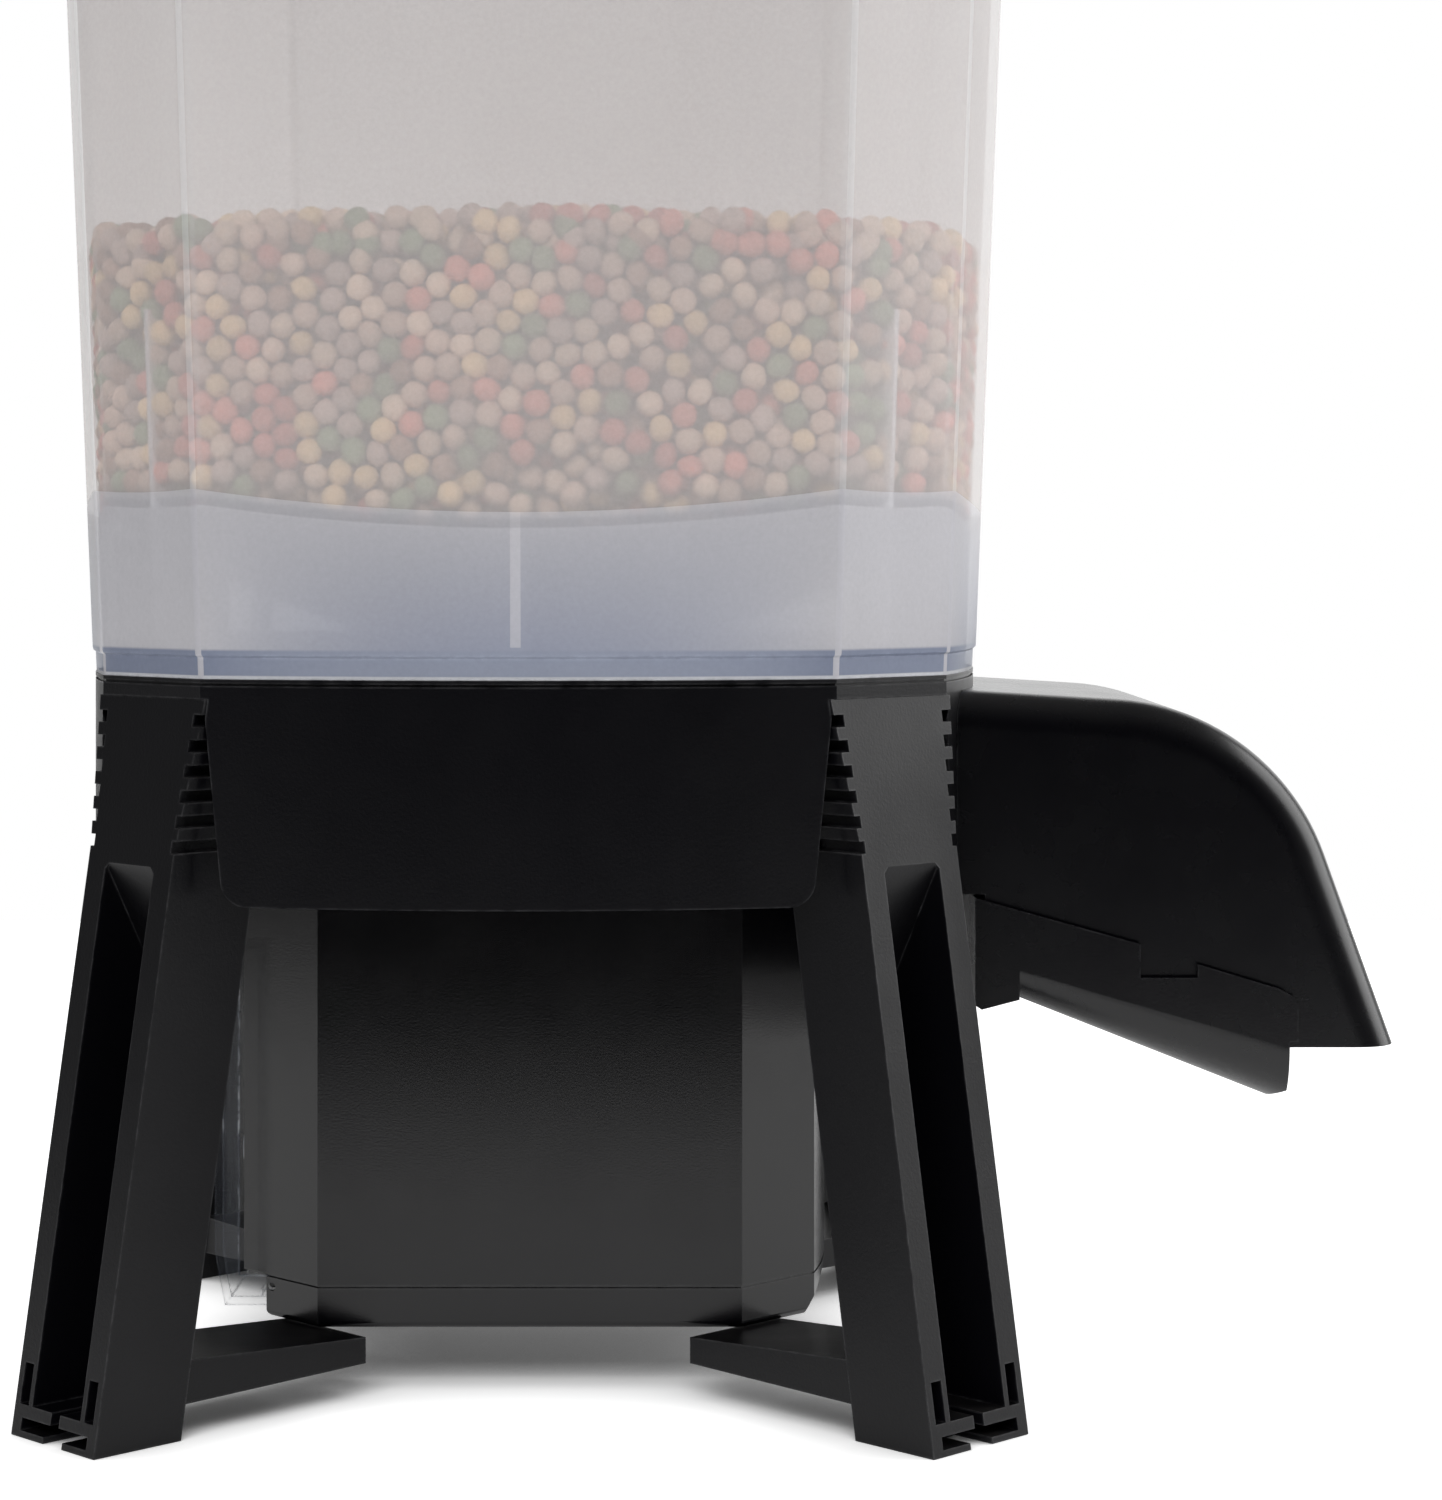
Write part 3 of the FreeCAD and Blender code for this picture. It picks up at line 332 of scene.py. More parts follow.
@dataclass(frozen=True)
class Finish:
    """Base of every finish: a Principled surface in its own material."""

    name: str
    colour: Colour
    roughness: float = 0.45

    def make(self) -> bpy.types.Material:
        """Build the material, or return it if it is there already.

        Returns:
            The finished material.
        """
        known = bpy.data.materials.get(self.name)
        if known:
            return known
        material = bpy.data.materials.new(self.name)
        material.use_nodes = True
        material.node_tree.nodes.clear()
        nodes = Nodes(material.node_tree)
        surface = nodes.add("ShaderNodeBsdfPrincipled", Roughness=self.roughness)
        output = nodes.add("ShaderNodeOutputMaterial")
        material.node_tree.links.new(surface.outputs["BSDF"], output.inputs["Surface"])
        self.dress(nodes, surface)
        return material

    def dress(self, nodes: Nodes, surface: bpy.types.Node) -> None:
        """Add this finish's own detail; each kind of finish has its own."""
        raise NotImplementedError

    @staticmethod
    def group(nodes: Nodes, tree: bpy.types.NodeTree, **values: float) -> bpy.types.Node:
        """Place a shared effect in a material.

        Args:
            nodes: The material's nodes.
            tree: The shared group.
            values: Its input values.

        Returns:
            The group node.
        """
        node = nodes.add("ShaderNodeGroup", {"node_tree": tree})
        for key, value in values.items():
            nodes.put(node, key, value)
        return node

    @staticmethod
    def relief(nodes: Nodes, surface: bpy.types.Node, height: object, depth: float,
               strength: float) -> None:
        """Feed a height into the surface's normal.

        Args:
            nodes: The material's nodes.
            surface: The Principled node.
            height: Socket of the height.
            depth: Depth of the relief in metres.
            strength: Strength of the bump.
        """
        nodes.put(surface, "Normal",
                  nodes.add("ShaderNodeBump", Height=height, Distance=depth, Strength=strength))


@dataclass(frozen=True)
class Moulding(Finish):
    """Opaque moulded plastic or rubber with grain, a colour painted along its edges, mostly a painted
    highlight, and a little dust.
    """

    grain: float = 0.35
    fineness: float = 1500.0
    tone: float = 0.18
    edge_paint: float = 0.5
    edge_paint_colour: Colour = (0.10, 0.10, 0.105)
    dust: float = 0.10
    dust_colour: Colour = (0.30, 0.28, 0.25)
    shine: float = 0.5
    mottle: float = 0.045

    def dress(self, nodes: Nodes, surface: bpy.types.Node) -> None:
        """Lay grain, the painted edge colour and dust over the base colour.

        Args:
            nodes: The material's nodes.
            surface: The Principled node.
        """
        grain = self.group(nodes, moulded_grain(), Fineness=self.fineness)
        edge = self.group(nodes, painted_edge_mask())
        film = self.group(nodes, settled_dust(), Amount=self.dust)
        body = nodes.mix(grain.outputs["Shade"], scaled(self.colour, 1.0 - self.tone),
                         scaled(self.colour, 1.0 + self.tone))
        # Painted highlight: edge_paint_colour is mixed in along the edges; on the dark finishes it is
        # lighter than the body.
        with_painted_edges = nodes.mix(nodes.math("MULTIPLY", edge, self.edge_paint), body, self.edge_paint_colour)
        nodes.put(surface, "Base Color", nodes.mix(film, with_painted_edges, self.dust_colour))
        varied = nodes.span(grain.outputs["Gloss"], 0.0, 1.0, self.roughness - self.mottle,
                            self.roughness + self.mottle)
        polished = nodes.math("SUBTRACT", varied, nodes.math("MULTIPLY", edge, 0.10))
        nodes.put(surface, "Roughness",
                  nodes.math("ADD", polished, nodes.math("MULTIPLY", film, 0.25), True))
        surface.inputs["Specular IOR Level"].default_value = self.shine
        self.relief(nodes, surface, grain.outputs["Height"], 0.00012, self.grain)


@dataclass(frozen=True)
class FrostedShell(Finish):
    """Translucent frosted polypropylene, cloudier with the melt's flow, and more opaque along its edges as
    a painted highlight.
    """

    veil: float = 0.35
    cloud: float = 0.04
    grain: float = 0.2
    lowest: float = 0.17
    highest: float = 0.40
    low_extra: float = 0.0

    def dress(self, nodes: Nodes, surface: bpy.types.Node) -> None:
        """Vary veil, tone and gloss with the melt's flow and the height, and thicken the veil along the
        edges as a painted highlight.

        Args:
            nodes: The material's nodes.
            surface: The Principled node.
        """
        grain = self.group(nodes, moulded_grain(), Fineness=900.0, Flow=9.0, Patch=30.0)
        edge = self.group(nodes, painted_edge_mask(), Radius=0.0012)
        nodes.put(surface, "Base Color",
                  nodes.mix(grain.outputs["Shade"], scaled(self.colour, 0.97), self.colour))
        where = nodes.add("ShaderNodeTexCoord").outputs["Object"]
        height = nodes.add("ShaderNodeSeparateXYZ", Vector=where).outputs["Z"]
        veil = nodes.span(height, self.lowest, self.highest, self.veil + self.low_extra, self.veil)
        flow = nodes.span(grain.outputs["Shade"], 0.0, 1.0, -self.cloud, self.cloud)
        # Painted highlight: a thicker veil along the edges shows as a lighter line.
        edge_highlight_veil = nodes.math("MULTIPLY", edge, 0.35)
        nodes.put(surface, "Alpha", nodes.math("ADD", nodes.math("ADD", veil, flow), edge_highlight_veil, True))
        nodes.put(surface, "Roughness", nodes.span(grain.outputs["Gloss"], 0.0, 1.0, self.roughness - 0.05,
                                                   self.roughness + 0.06))
        self.relief(nodes, surface, grain.outputs["Height"], 0.0002, self.grain)


@dataclass(frozen=True)
class FrostedFoot(FrostedShell):
    """The hopper's skirt below the funnel, with painted shade: darker and bluer mid-wall at its lower
    edge, and a dark band for the black spigot behind it.
    """

    painted_shade: Colour = (0.47, 0.50, 0.62)
    rim: Colour = (0.44, 0.48, 0.60)
    rim_corner_shade: Colour = (0.30, 0.34, 0.46)
    lip: Colour = (0.78, 0.79, 0.84)
    rib: Colour = (0.90, 0.88, 0.92)
    lip_top: float = 0.1698
    rib_foot: float = 0.1763
    rim_top: float = 0.1755
    line_start: float = 0.16115
    line_slope: float = 0.41
    half_wall: float = 0.071

    def dress(self, nodes: Nodes, surface: bpy.types.Node) -> None:
        """Paint shade on the skirt by its place on the wall, over the frosted wall's own detail.

        Args:
            nodes: The material's nodes.
            surface: The Principled node.
        """
        super().dress(nodes, surface)
        where = nodes.add("ShaderNodeTexCoord").outputs["Object"]
        place = nodes.add("ShaderNodeSeparateXYZ", Vector=where).outputs
        across = [nodes.math("ABSOLUTE", place[axis]) for axis in ("X", "Y")]
        aside = nodes.span(nodes.math("MINIMUM", *across), 0.0, self.half_wall)
        middle = nodes.math("SUBTRACT", 1.0, nodes.math("POWER", aside, 2.2))
        flat = nodes.add("ShaderNodeCombineXYZ", X=place["X"], Y=place["Y"])
        radius = nodes.add("ShaderNodeVectorMath", {"operation": "LENGTH"}, Vector=flat).outputs["Value"]
        line = nodes.math("ADD", nodes.math("MULTIPLY", radius, self.line_slope),
                          self.line_start - self.rim_top)
        rise = nodes.math("DIVIDE", nodes.math("SUBTRACT", place["Z"], self.rim_top), line, True)
        depth = nodes.math("MULTIPLY", middle, nodes.math("SUBTRACT", 1.0, rise), True)
        # Painted shade: darker and bluer mid-wall towards the skirt's lower edge, for the shade under the
        # funnel.
        shade = nodes.mix(depth, self.colour, self.painted_shade)
        touching = nodes.math("MULTIPLY", nodes.math("LESS_THAN", nodes.math("MINIMUM", *across), 0.00115),
                              nodes.math("GREATER_THAN", place["Z"], self.rib_foot))
        ribbed = nodes.mix(nodes.math("MULTIPLY", touching, 0.55), shade, self.rib)
        # Painted shade: the band below rim_top is darkened for the black spigot and shade behind the
        # skirt, darkest at the corners.
        rim = nodes.mix(nodes.math("POWER", aside, 4.0), self.rim, self.rim_corner_shade)
        band = nodes.mix(nodes.span(place["Z"], self.rim_top + 0.0003, self.rim_top - 0.0003), ribbed, rim)
        banded = nodes.mix(nodes.span(place["Z"], self.lip_top + 0.0001, self.lip_top - 0.0001), band,
                           self.lip)
        grain = self.group(nodes, moulded_grain(), Fineness=900.0, Flow=9.0, Patch=30.0)
        light = nodes.span(grain.outputs["Shade"], 0.0, 1.0, 0.96, 1.03)
        grey = nodes.add("ShaderNodeCombineColor", Red=light, Green=light, Blue=light)
        nodes.put(surface, "Base Color", nodes.mix(1.0, banded, grey.outputs[0], "MULTIPLY"))


@dataclass(frozen=True)
class ClearShell(Finish):
    """Clear polished moulding with faint handling scratches, and edges painted in dark and bright bands as
    a painted reflection.
    """

    veil: float = 0.10

    def dress(self, nodes: Nodes, surface: bpy.types.Node) -> None:
        """Let the painted edge reflection and a few scratches show on an almost invisible wall.

        Args:
            nodes: The material's nodes.
            surface: The Principled node.
        """
        edge = self.group(nodes, painted_edge_mask(), Radius=0.0010)
        where = nodes.add("ShaderNodeTexCoord").outputs["Object"]
        turned = nodes.add("ShaderNodeMapping", Vector=where, Rotation=(0.3, 0.9, 0.5),
                           Scale=(1.0, 0.06, 1.0))
        scratch = nodes.span(nodes.noise(turned, 1300.0, 1.0), 0.66, 0.72)
        film = nodes.span(nodes.noise(where, 60.0, 3.0), 0.3, 0.7, 0.0, 0.012)
        # Painted reflection: the edges are coloured in dark and bright bands for the surroundings seen in
        # them, and made nearly opaque.
        bands = nodes.span(nodes.noise(where, 70.0, 1.0), 0.46, 0.54)
        cut = nodes.mix(bands, (0.03, 0.035, 0.055), (0.92, 0.94, 0.97))
        nodes.put(surface, "Base Color", nodes.mix(edge, self.colour, cut))
        shown = nodes.math("ADD", nodes.math("MULTIPLY", edge, 0.75),
                           nodes.math("MULTIPLY", scratch, 0.008))
        nodes.put(surface, "Alpha", nodes.math("ADD", nodes.math("ADD", shown, film), self.veil, True))
        nodes.put(surface, "Roughness",
                  nodes.math("ADD", nodes.math("MULTIPLY", scratch, 0.08), self.roughness, True))
        surface.inputs["IOR"].default_value = 1.58


@dataclass(frozen=True)
class Metal(Finish):
    """Plated or ground metal with drawn lines, dull patches and a painted highlight along its edges."""

    fineness: float = 2600.0
    grain: float = 0.25

    def dress(self, nodes: Nodes, surface: bpy.types.Node) -> None:
        """Lay drawn lines, a cloudy plating and a painted edge highlight over the metal.

        Args:
            nodes: The material's nodes.
            surface: The Principled node.
        """
        lines = self.group(nodes, drawn_lines(), Fineness=self.fineness)
        edge = self.group(nodes, painted_edge_mask(), Radius=0.0004)
        plated = nodes.mix(lines.outputs["Tone"], scaled(self.colour, 0.82), scaled(self.colour, 1.08))
        # Painted highlight: the edges are lighter than the metal.
        nodes.put(surface, "Base Color", nodes.mix(edge, plated, scaled(self.colour, 1.3)))
        nodes.put(surface, "Roughness", nodes.span(lines.outputs["Tone"], 0.0, 1.0, self.roughness + 0.10,
                                                   self.roughness - 0.04))
        surface.inputs["Metallic"].default_value = 1.0
        self.relief(nodes, surface, lines.outputs["Height"], 0.00005, self.grain)


@dataclass(frozen=True)
class PelletCrust(Finish):
    """Dry extruded feed in mixed colours, chosen by each pellet's own tone value."""

    tones: tuple[tuple[float, Colour], ...] = ()

    def dress(self, nodes: Nodes, surface: bpy.types.Node) -> None:
        """Pick the pellet's colour, then lay a mealy, pitted crust over it.

        Args:
            nodes: The material's nodes.
            surface: The Principled node.
        """
        tone = nodes.add("ShaderNodeAttribute", {"attribute_name": "tone"}).outputs["Fac"]
        ramp = nodes.add("ShaderNodeValToRGB", Fac=tone)
        ramp.color_ramp.interpolation = "CONSTANT"
        stops = ramp.color_ramp.elements
        while len(stops) < len(self.tones):
            stops.new(0.5)
        for stop, (place, colour) in zip(stops, self.tones):
            stop.position, stop.color = place, (*colour, 1.0)
        where = nodes.add("ShaderNodeTexCoord").outputs["Object"]
        meal = nodes.noise(where, 1100.0, 4.0, 0.7)
        pits = nodes.add("ShaderNodeTexVoronoi", Vector=where, Scale=900.0)
        shade = nodes.add("ShaderNodeAttribute", {"attribute_name": "shade"}).outputs["Fac"]
        light = nodes.math("MULTIPLY", nodes.span(meal, 0.25, 0.75, 0.72, 1.18),
                           nodes.span(shade, 0.0, 1.0, 0.8, 1.15))
        grey = nodes.add("ShaderNodeCombineColor", Red=light, Green=light, Blue=light)
        nodes.put(surface, "Base Color",
                  nodes.mix(1.0, ramp.outputs["Color"], grey.outputs[0], "MULTIPLY"))
        nodes.put(surface, "Roughness", nodes.span(meal, 0.2, 0.8, self.roughness, self.roughness + 0.15))
        height = nodes.math("ADD", meal, nodes.math("MULTIPLY", pits.outputs["Distance"], 0.4))
        self.relief(nodes, surface, height, 0.0004, 0.6)


@dataclass(frozen=True)
class SolderMask(Finish):
    """Circuit board: solder mask over copper tracks, with tinned pads."""

    def dress(self, nodes: Nodes, surface: bpy.types.Node) -> None:
        """Draw stepped tracks and pads under the mask.

        Args:
            nodes: The material's nodes.
            surface: The Principled node.
        """
        where = nodes.add("ShaderNodeTexCoord").outputs["Object"]
        cells = nodes.add("ShaderNodeTexVoronoi", {"distance": "MANHATTAN"}, Vector=where, Scale=260.0,
                          Randomness=0.55)
        track = nodes.span(cells.outputs["Distance"], 0.38, 0.44)
        dots = nodes.add("ShaderNodeTexVoronoi", Vector=where, Scale=330.0, Randomness=0.15)
        pad = nodes.span(dots.outputs["Distance"], 0.20, 0.15)
        masked = nodes.mix(track, self.colour, scaled(self.colour, 2.1))
        nodes.put(surface, "Base Color", nodes.mix(pad, masked, (0.62, 0.60, 0.55)))
        nodes.put(surface, "Metallic", nodes.math("MULTIPLY", pad, 0.9))
        nodes.put(surface, "Roughness", nodes.span(pad, 0.0, 1.0, self.roughness, 0.25))
        self.relief(nodes, surface, track, 0.00004, 0.5)


@dataclass(frozen=True)
class PrintedJacket(Finish):
    """Battery jacket: dark foil with a copper-coloured shoulder and no lettering."""

    split: float = 0.066

    def dress(self, nodes: Nodes, surface: bpy.types.Node) -> None:
        """Paint the shoulder above the split and scuff the foil.

        Args:
            nodes: The material's nodes.
            surface: The Principled node.
        """
        where = nodes.add("ShaderNodeTexCoord").outputs["Object"]
        height = nodes.add("ShaderNodeSeparateXYZ", Vector=where).outputs["Z"]
        shoulder = nodes.span(height, self.split, self.split + 0.0004)
        scuff = nodes.noise(where, 420.0, 4.0, 0.7)
        foil = nodes.mix(shoulder, self.colour, (0.42, 0.22, 0.08))
        nodes.put(surface, "Base Color",
                  nodes.mix(nodes.span(scuff, 0.55, 0.75, 0.0, 0.3), foil, (0.5, 0.5, 0.5)))
        nodes.put(surface, "Metallic", nodes.span(shoulder, 0.0, 1.0, 0.35, 0.9))
        nodes.put(surface, "Roughness", nodes.span(scuff, 0.3, 0.7, self.roughness, self.roughness + 0.15))
        self.relief(nodes, surface, scuff, 0.00004, 0.3)


@dataclass(frozen=True)
class PaleFloor(Finish):
    """Plain pale floor with the faintest mottle, and a painted contact shadow near the object."""

    glow: float = 0.0
    seen_glow: float = 0.9
    contact: float = 0.035

    def dress(self, nodes: Nodes, surface: bpy.types.Node) -> None:
        """Keep the floor plain but not perfectly even, and paint contact shadows by dimming the glow where
        ambient occlusion finds something close.

        Args:
            nodes: The material's nodes.
            surface: The Principled node.
        """
        where = nodes.add("ShaderNodeTexCoord").outputs["Object"]
        mottle = nodes.noise(where, 30.0, 4.0)
        nodes.put(surface, "Base Color", nodes.mix(mottle, scaled(self.colour, 0.985), self.colour))
        surface.inputs["Specular IOR Level"].default_value = 0.1
        surface.inputs["Emission Color"].default_value = (1.0, 1.0, 1.0, 1.0)
        # Painted contact shadow: ambient occlusion within contact metres dims the floor's glow.
        contact_shadow_ao = nodes.add("ShaderNodeAmbientOcclusion", {"samples": 8},
                           Distance=self.contact).outputs["AO"]
        seen = nodes.add("ShaderNodeLightPath").outputs["Is Camera Ray"]
        glow = nodes.span(seen, 0.0, 1.0, self.glow, self.seen_glow)
        nodes.put(surface, "Emission Strength",
                  nodes.math("MULTIPLY", glow, nodes.span(contact_shadow_ao, 0.15, 0.9, 0.0, 1.0)))


# Where edge_paint_colour is lighter than the body, as on the black and grey mouldings, the rubber and the
# acetal, it is a painted edge highlight; on the icon print it is darker than the print.
SATIN_BLACK = Moulding("satin_black_moulding", (0.0022, 0.0021, 0.0032), 0.38, grain=0.40, fineness=1400.0,
                       shine=0.30, dust=0.05, mottle=0.03)
CASING_BLACK = Moulding("semi_gloss_black_casing", (0.0011, 0.0010, 0.0018), 0.20, grain=0.14,
                        fineness=1900.0, dust=0.02, edge_paint=0.30, mottle=0.02)
HOOD_BLACK = Moulding("semi_gloss_black_hood", (0.0016, 0.0015, 0.0024), 0.27, grain=0.14, fineness=1900.0,
                      dust=0.02, edge_paint=0.30, mottle=0.02)
HOPPER_WALL = FrostedShell("frosted_hopper_wall", (0.85, 0.80, 0.795), 0.42, veil=0.36)
# The two edge copies below are more opaque, the wall one also lighter, for the wall-to-chamfer corner
# columns: a painted highlight line.
HOPPER_EDGE_HIGHLIGHT = FrostedShell("frosted_hopper_edge_highlight", (0.92, 0.91, 0.92), 0.40, veil=0.46)
HOPPER_FOOT_EDGE_HIGHLIGHT = FrostedShell("frosted_hopper_foot_edge_highlight", (0.72, 0.71, 0.76), 0.42, veil=0.66)
HOPPER_FOOT = FrostedFoot("frosted_hopper_foot", (0.74, 0.73, 0.77), 0.42, veil=0.62)
HOPPER_RIB = FrostedShell("frosted_hopper_rib", (0.92, 0.92, 0.95), 0.42, veil=0.9)
CLEAR = ClearShell("clear_polished_cover", (0.55, 0.60, 0.70), 0.05, veil=0.035)
CLEAR_LENS = ClearShell("clear_display_lens", (0.55, 0.58, 0.60), 0.05, veil=0.10)
GREY_SEAL = Moulding("grey_elastomer_seal", (0.11, 0.11, 0.115), 0.62, grain=0.3, edge_paint=0.1, tone=0.12)
ZINC = Metal("zinc_plated_screw", (0.55, 0.55, 0.53), 0.34)
GROUND_STEEL = Metal("ground_steel_pin", (0.60, 0.60, 0.60), 0.22)
NICKEL = Metal("nickel_plated_contact", (0.66, 0.63, 0.56), 0.20)
MOTOR_STEEL = Metal("motor_can_steel", (0.48, 0.48, 0.49), 0.36, fineness=1200.0)
PANEL_GREY = Moulding("control_panel_face", (0.020, 0.021, 0.025), 0.55, grain=0.25, fineness=2200.0,
                      edge_paint=0.3)
BUTTON_RUBBER = Moulding("button_rubber", (0.09, 0.095, 0.10), 0.60, grain=0.3, edge_paint=0.5,
                         edge_paint_colour=(0.20, 0.20, 0.21))
ICON_WHITE = Moulding("button_icon_print", (0.62, 0.63, 0.64), 0.50, grain=0.1, edge_paint=0.2,
                      edge_paint_colour=(0.35, 0.35, 0.36))
DISPLAY_FACE = Moulding("display_face", (0.27, 0.31, 0.24), 0.30, grain=0.05, tone=0.06, edge_paint=0.0,
                        dust=0.0)
DISPLAY_INK = Moulding("display_segment", (0.020, 0.024, 0.022), 0.35, grain=0.05, edge_paint=0.0, dust=0.0)
BOARD = SolderMask("circuit_board_mask", (0.010, 0.085, 0.035), 0.35)
ACETAL = Moulding("natural_acetal", (0.70, 0.69, 0.66), 0.36, grain=0.15, tone=0.05, edge_paint=0.2,
                  edge_paint_colour=(0.80, 0.79, 0.76), dust=0.25, dust_colour=(0.42, 0.33, 0.22))
DARK_GREY = Moulding("dark_grey_moulding", (0.055, 0.055, 0.058), 0.50, grain=0.4)
JACKET = PrintedJacket("battery_jacket_foil", (0.035, 0.036, 0.04), 0.28)
PELLET = PelletCrust("pellet_crust", (0.5, 0.5, 0.5), 0.72, tones=(
    (0.00, (0.58, 0.42, 0.33)), (0.18, (0.66, 0.50, 0.38)), (0.32, (0.72, 0.52, 0.29)),
    (0.43, (0.64, 0.23, 0.18)), (0.58, (0.52, 0.17, 0.14)), (0.66, (0.48, 0.36, 0.31)),
    (0.80, (0.21, 0.28, 0.16)), (0.92, (0.36, 0.22, 0.16))))
# Painted shade: a dark brown heap that stands for the shaded pellets deep inside the fill.
PELLET_SHADE_BED = Moulding("pellet_bed_painted_shade", (0.055, 0.042, 0.034), 0.85, grain=0.6, tone=0.4, edge_paint=0.0, dust=0.0)


# ---------------------------------------------------------------- mesh helpers

def new_object(name: str, mesh: bpy.types.Mesh, finish: Finish | None = None) -> bpy.types.Object:
    """Put a mesh in the scene as a piece.

    Args:
        name: The piece's name.
        mesh: Its mesh, in place.
        finish: Its finish; None keeps the mesh's own materials.

    Returns:
        The new object.
    """
    mesh.name = name
    piece = bpy.data.objects.new(name, mesh)
    bpy.context.scene.collection.objects.link(piece)
    if finish:
        mesh.materials.clear()
        mesh.materials.append(finish.make())
    return piece


def mesh_from(verts: Sequence[Sequence[float]], faces: Sequence[Sequence[int]],
              smooth: float = 30.0) -> bpy.types.Mesh:
    """Make a mesh whose faces point outwards.

    Args:
        verts: Corner positions.
        faces: Corner numbers of each face.
        smooth: Edges sharper than this many degrees stay crisp.

    Returns:
        The mesh.
    """
    mesh = bpy.data.meshes.new("made")
    mesh.from_pydata([tuple(v) for v in verts], [], [tuple(f) for f in faces])
    work = bmesh.new()
    work.from_mesh(mesh)
    bmesh.ops.remove_doubles(work, verts=work.verts, dist=1e-7)
    bmesh.ops.recalc_face_normals(work, faces=work.faces)
    work.to_mesh(mesh)
    work.free()
    mesh.shade_smooth()
    mesh.set_sharp_from_angle(angle=math.radians(smooth))
    return mesh


def lathe_loft(rings: Sequence[Sequence[Vector]], close: bool = False,
               smooth: float = 30.0) -> bpy.types.Mesh:
    """Skin a stack of rings of equal count.

    Args:
        rings: The rings, each a closed loop of points.
        close: Join the last ring to the first; otherwise both ends are capped.
        smooth: Edges sharper than this many degrees stay crisp.

    Returns:
        A closed mesh.
    """
    count = len(rings[0])
    verts = [point for ring in rings for point in ring]
    faces: list[tuple[int, ...]] = []
    for row in range(len(rings) if close else len(rings) - 1):
        low, high = row * count, ((row + 1) % len(rings)) * count
        for i in range(count):
            j = (i + 1) % count
            faces.append((low + i, low + j, high + j, high + i))
    if not close:
        faces += [tuple(range(count)), tuple(range(len(verts) - 1, len(verts) - count - 1, -1))]
    return mesh_from(verts, faces, smooth)


def bevelled(piece: bpy.types.Object, width: float, angle: float = 30.0,
             segments: int = 2) -> bpy.types.Object:
    """Round a piece's sharp edges.

    Args:
        piece: The piece.
        width: Width of the rounding.
        angle: Edges sharper than this many degrees are rounded.
        segments: Faces across the rounding.

    Returns:
        The same piece.
    """
    bevel = piece.modifiers.new("rounded_edges", "BEVEL")
    bevel.width, bevel.segments, bevel.limit_method = width, segments, "ANGLE"
    bevel.angle_limit, bevel.use_clamp_overlap = math.radians(angle), True
    weighted = piece.modifiers.new("even_shading", "WEIGHTED_NORMAL")
    weighted.keep_sharp = False
    return piece


def baked(piece: bpy.types.Object) -> bpy.types.Mesh:
    """Turn a piece with its modifiers into a plain mesh.

    Args:
        piece: The piece; its modifiers are removed.

    Returns:
        The evaluated mesh.
    """
    depsgraph = bpy.context.evaluated_depsgraph_get()
    mesh = bpy.data.meshes.new_from_object(piece.evaluated_get(depsgraph))
    piece.modifiers.clear()
    return mesh


def refined(node: str, name: str, finish: Finish, body: Body, slot: Slot, width: float = 0.45 * MM,
            angle: float = 28.0) -> bpy.types.Object:
    """Give a CAD node's shape moulded edges, as a piece that stands for it.

    Args:
        node: The CAD node.
        name: The new piece's name.
        finish: Its finish.
        body: The body that it rides on.
        slot: The CAD node's material slot, passed on to finish_piece.
        width: Width of the rounded edges.
        angle: Edges sharper than this many degrees are rounded.

    Returns:
        The new piece.
    """
    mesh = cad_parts[node].data.copy()
    work = bmesh.new()
    work.from_mesh(mesh)
    bmesh.ops.remove_doubles(work, verts=work.verts, dist=2e-6)
    bmesh.ops.dissolve_limit(work, angle_limit=math.radians(0.6), use_dissolve_boundaries=False,
                             verts=work.verts, edges=work.edges)
    rounded = [edge for edge in work.edges if len(edge.link_faces) == 2
               and edge.calc_face_angle(0.0) > math.radians(angle) and edge.calc_length() > 0.4 * MM]
    bmesh.ops.bevel(work, geom=rounded, offset=width, segments=2, profile=0.5, affect="EDGES",
                    clamp_overlap=True, offset_type="OFFSET")
    work.to_mesh(mesh)
    work.free()
    mesh.shade_smooth()
    mesh.set_sharp_from_angle(angle=math.radians(38.0))
    piece = new_object(name, mesh, finish)
    weighted = piece.modifiers.new("even_shading", "WEIGHTED_NORMAL")
    weighted.keep_sharp = True
    finish_piece(piece, body, slot, node)
    return piece


def finish_piece(piece: bpy.types.Object, body: Body, slot: Slot | None, *nodes: str) -> bpy.types.Object:
    """Tie a piece to its body and hide the CAD nodes that it stands for.

    Args:
        piece: The piece, in place.
        body: The body that it rides on.
        slot: Its material slot, or None; not used.
        nodes: CAD nodes that it replaces.

    Returns:
        The same piece.
    """
    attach(piece, body.value)
    if nodes:
        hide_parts(*nodes)
    LOG.info("%s rides on %s", piece.name, body.value)
    return piece


def joined_mesh(parts: Sequence[bpy.types.Mesh]) -> bpy.types.Mesh:
    """Put several meshes into one.

    Args:
        parts: The meshes.

    Returns:
        One mesh with all of their faces.
    """
    work = bmesh.new()
    for part in parts:
        work.from_mesh(part)
    mesh = bpy.data.meshes.new("joined")
    work.to_mesh(mesh)
    work.free()
    mesh.shade_smooth()
    mesh.set_sharp_from_angle(angle=math.radians(35.0))
    return mesh


# ---------------------------------------------------------------- geometry nodes

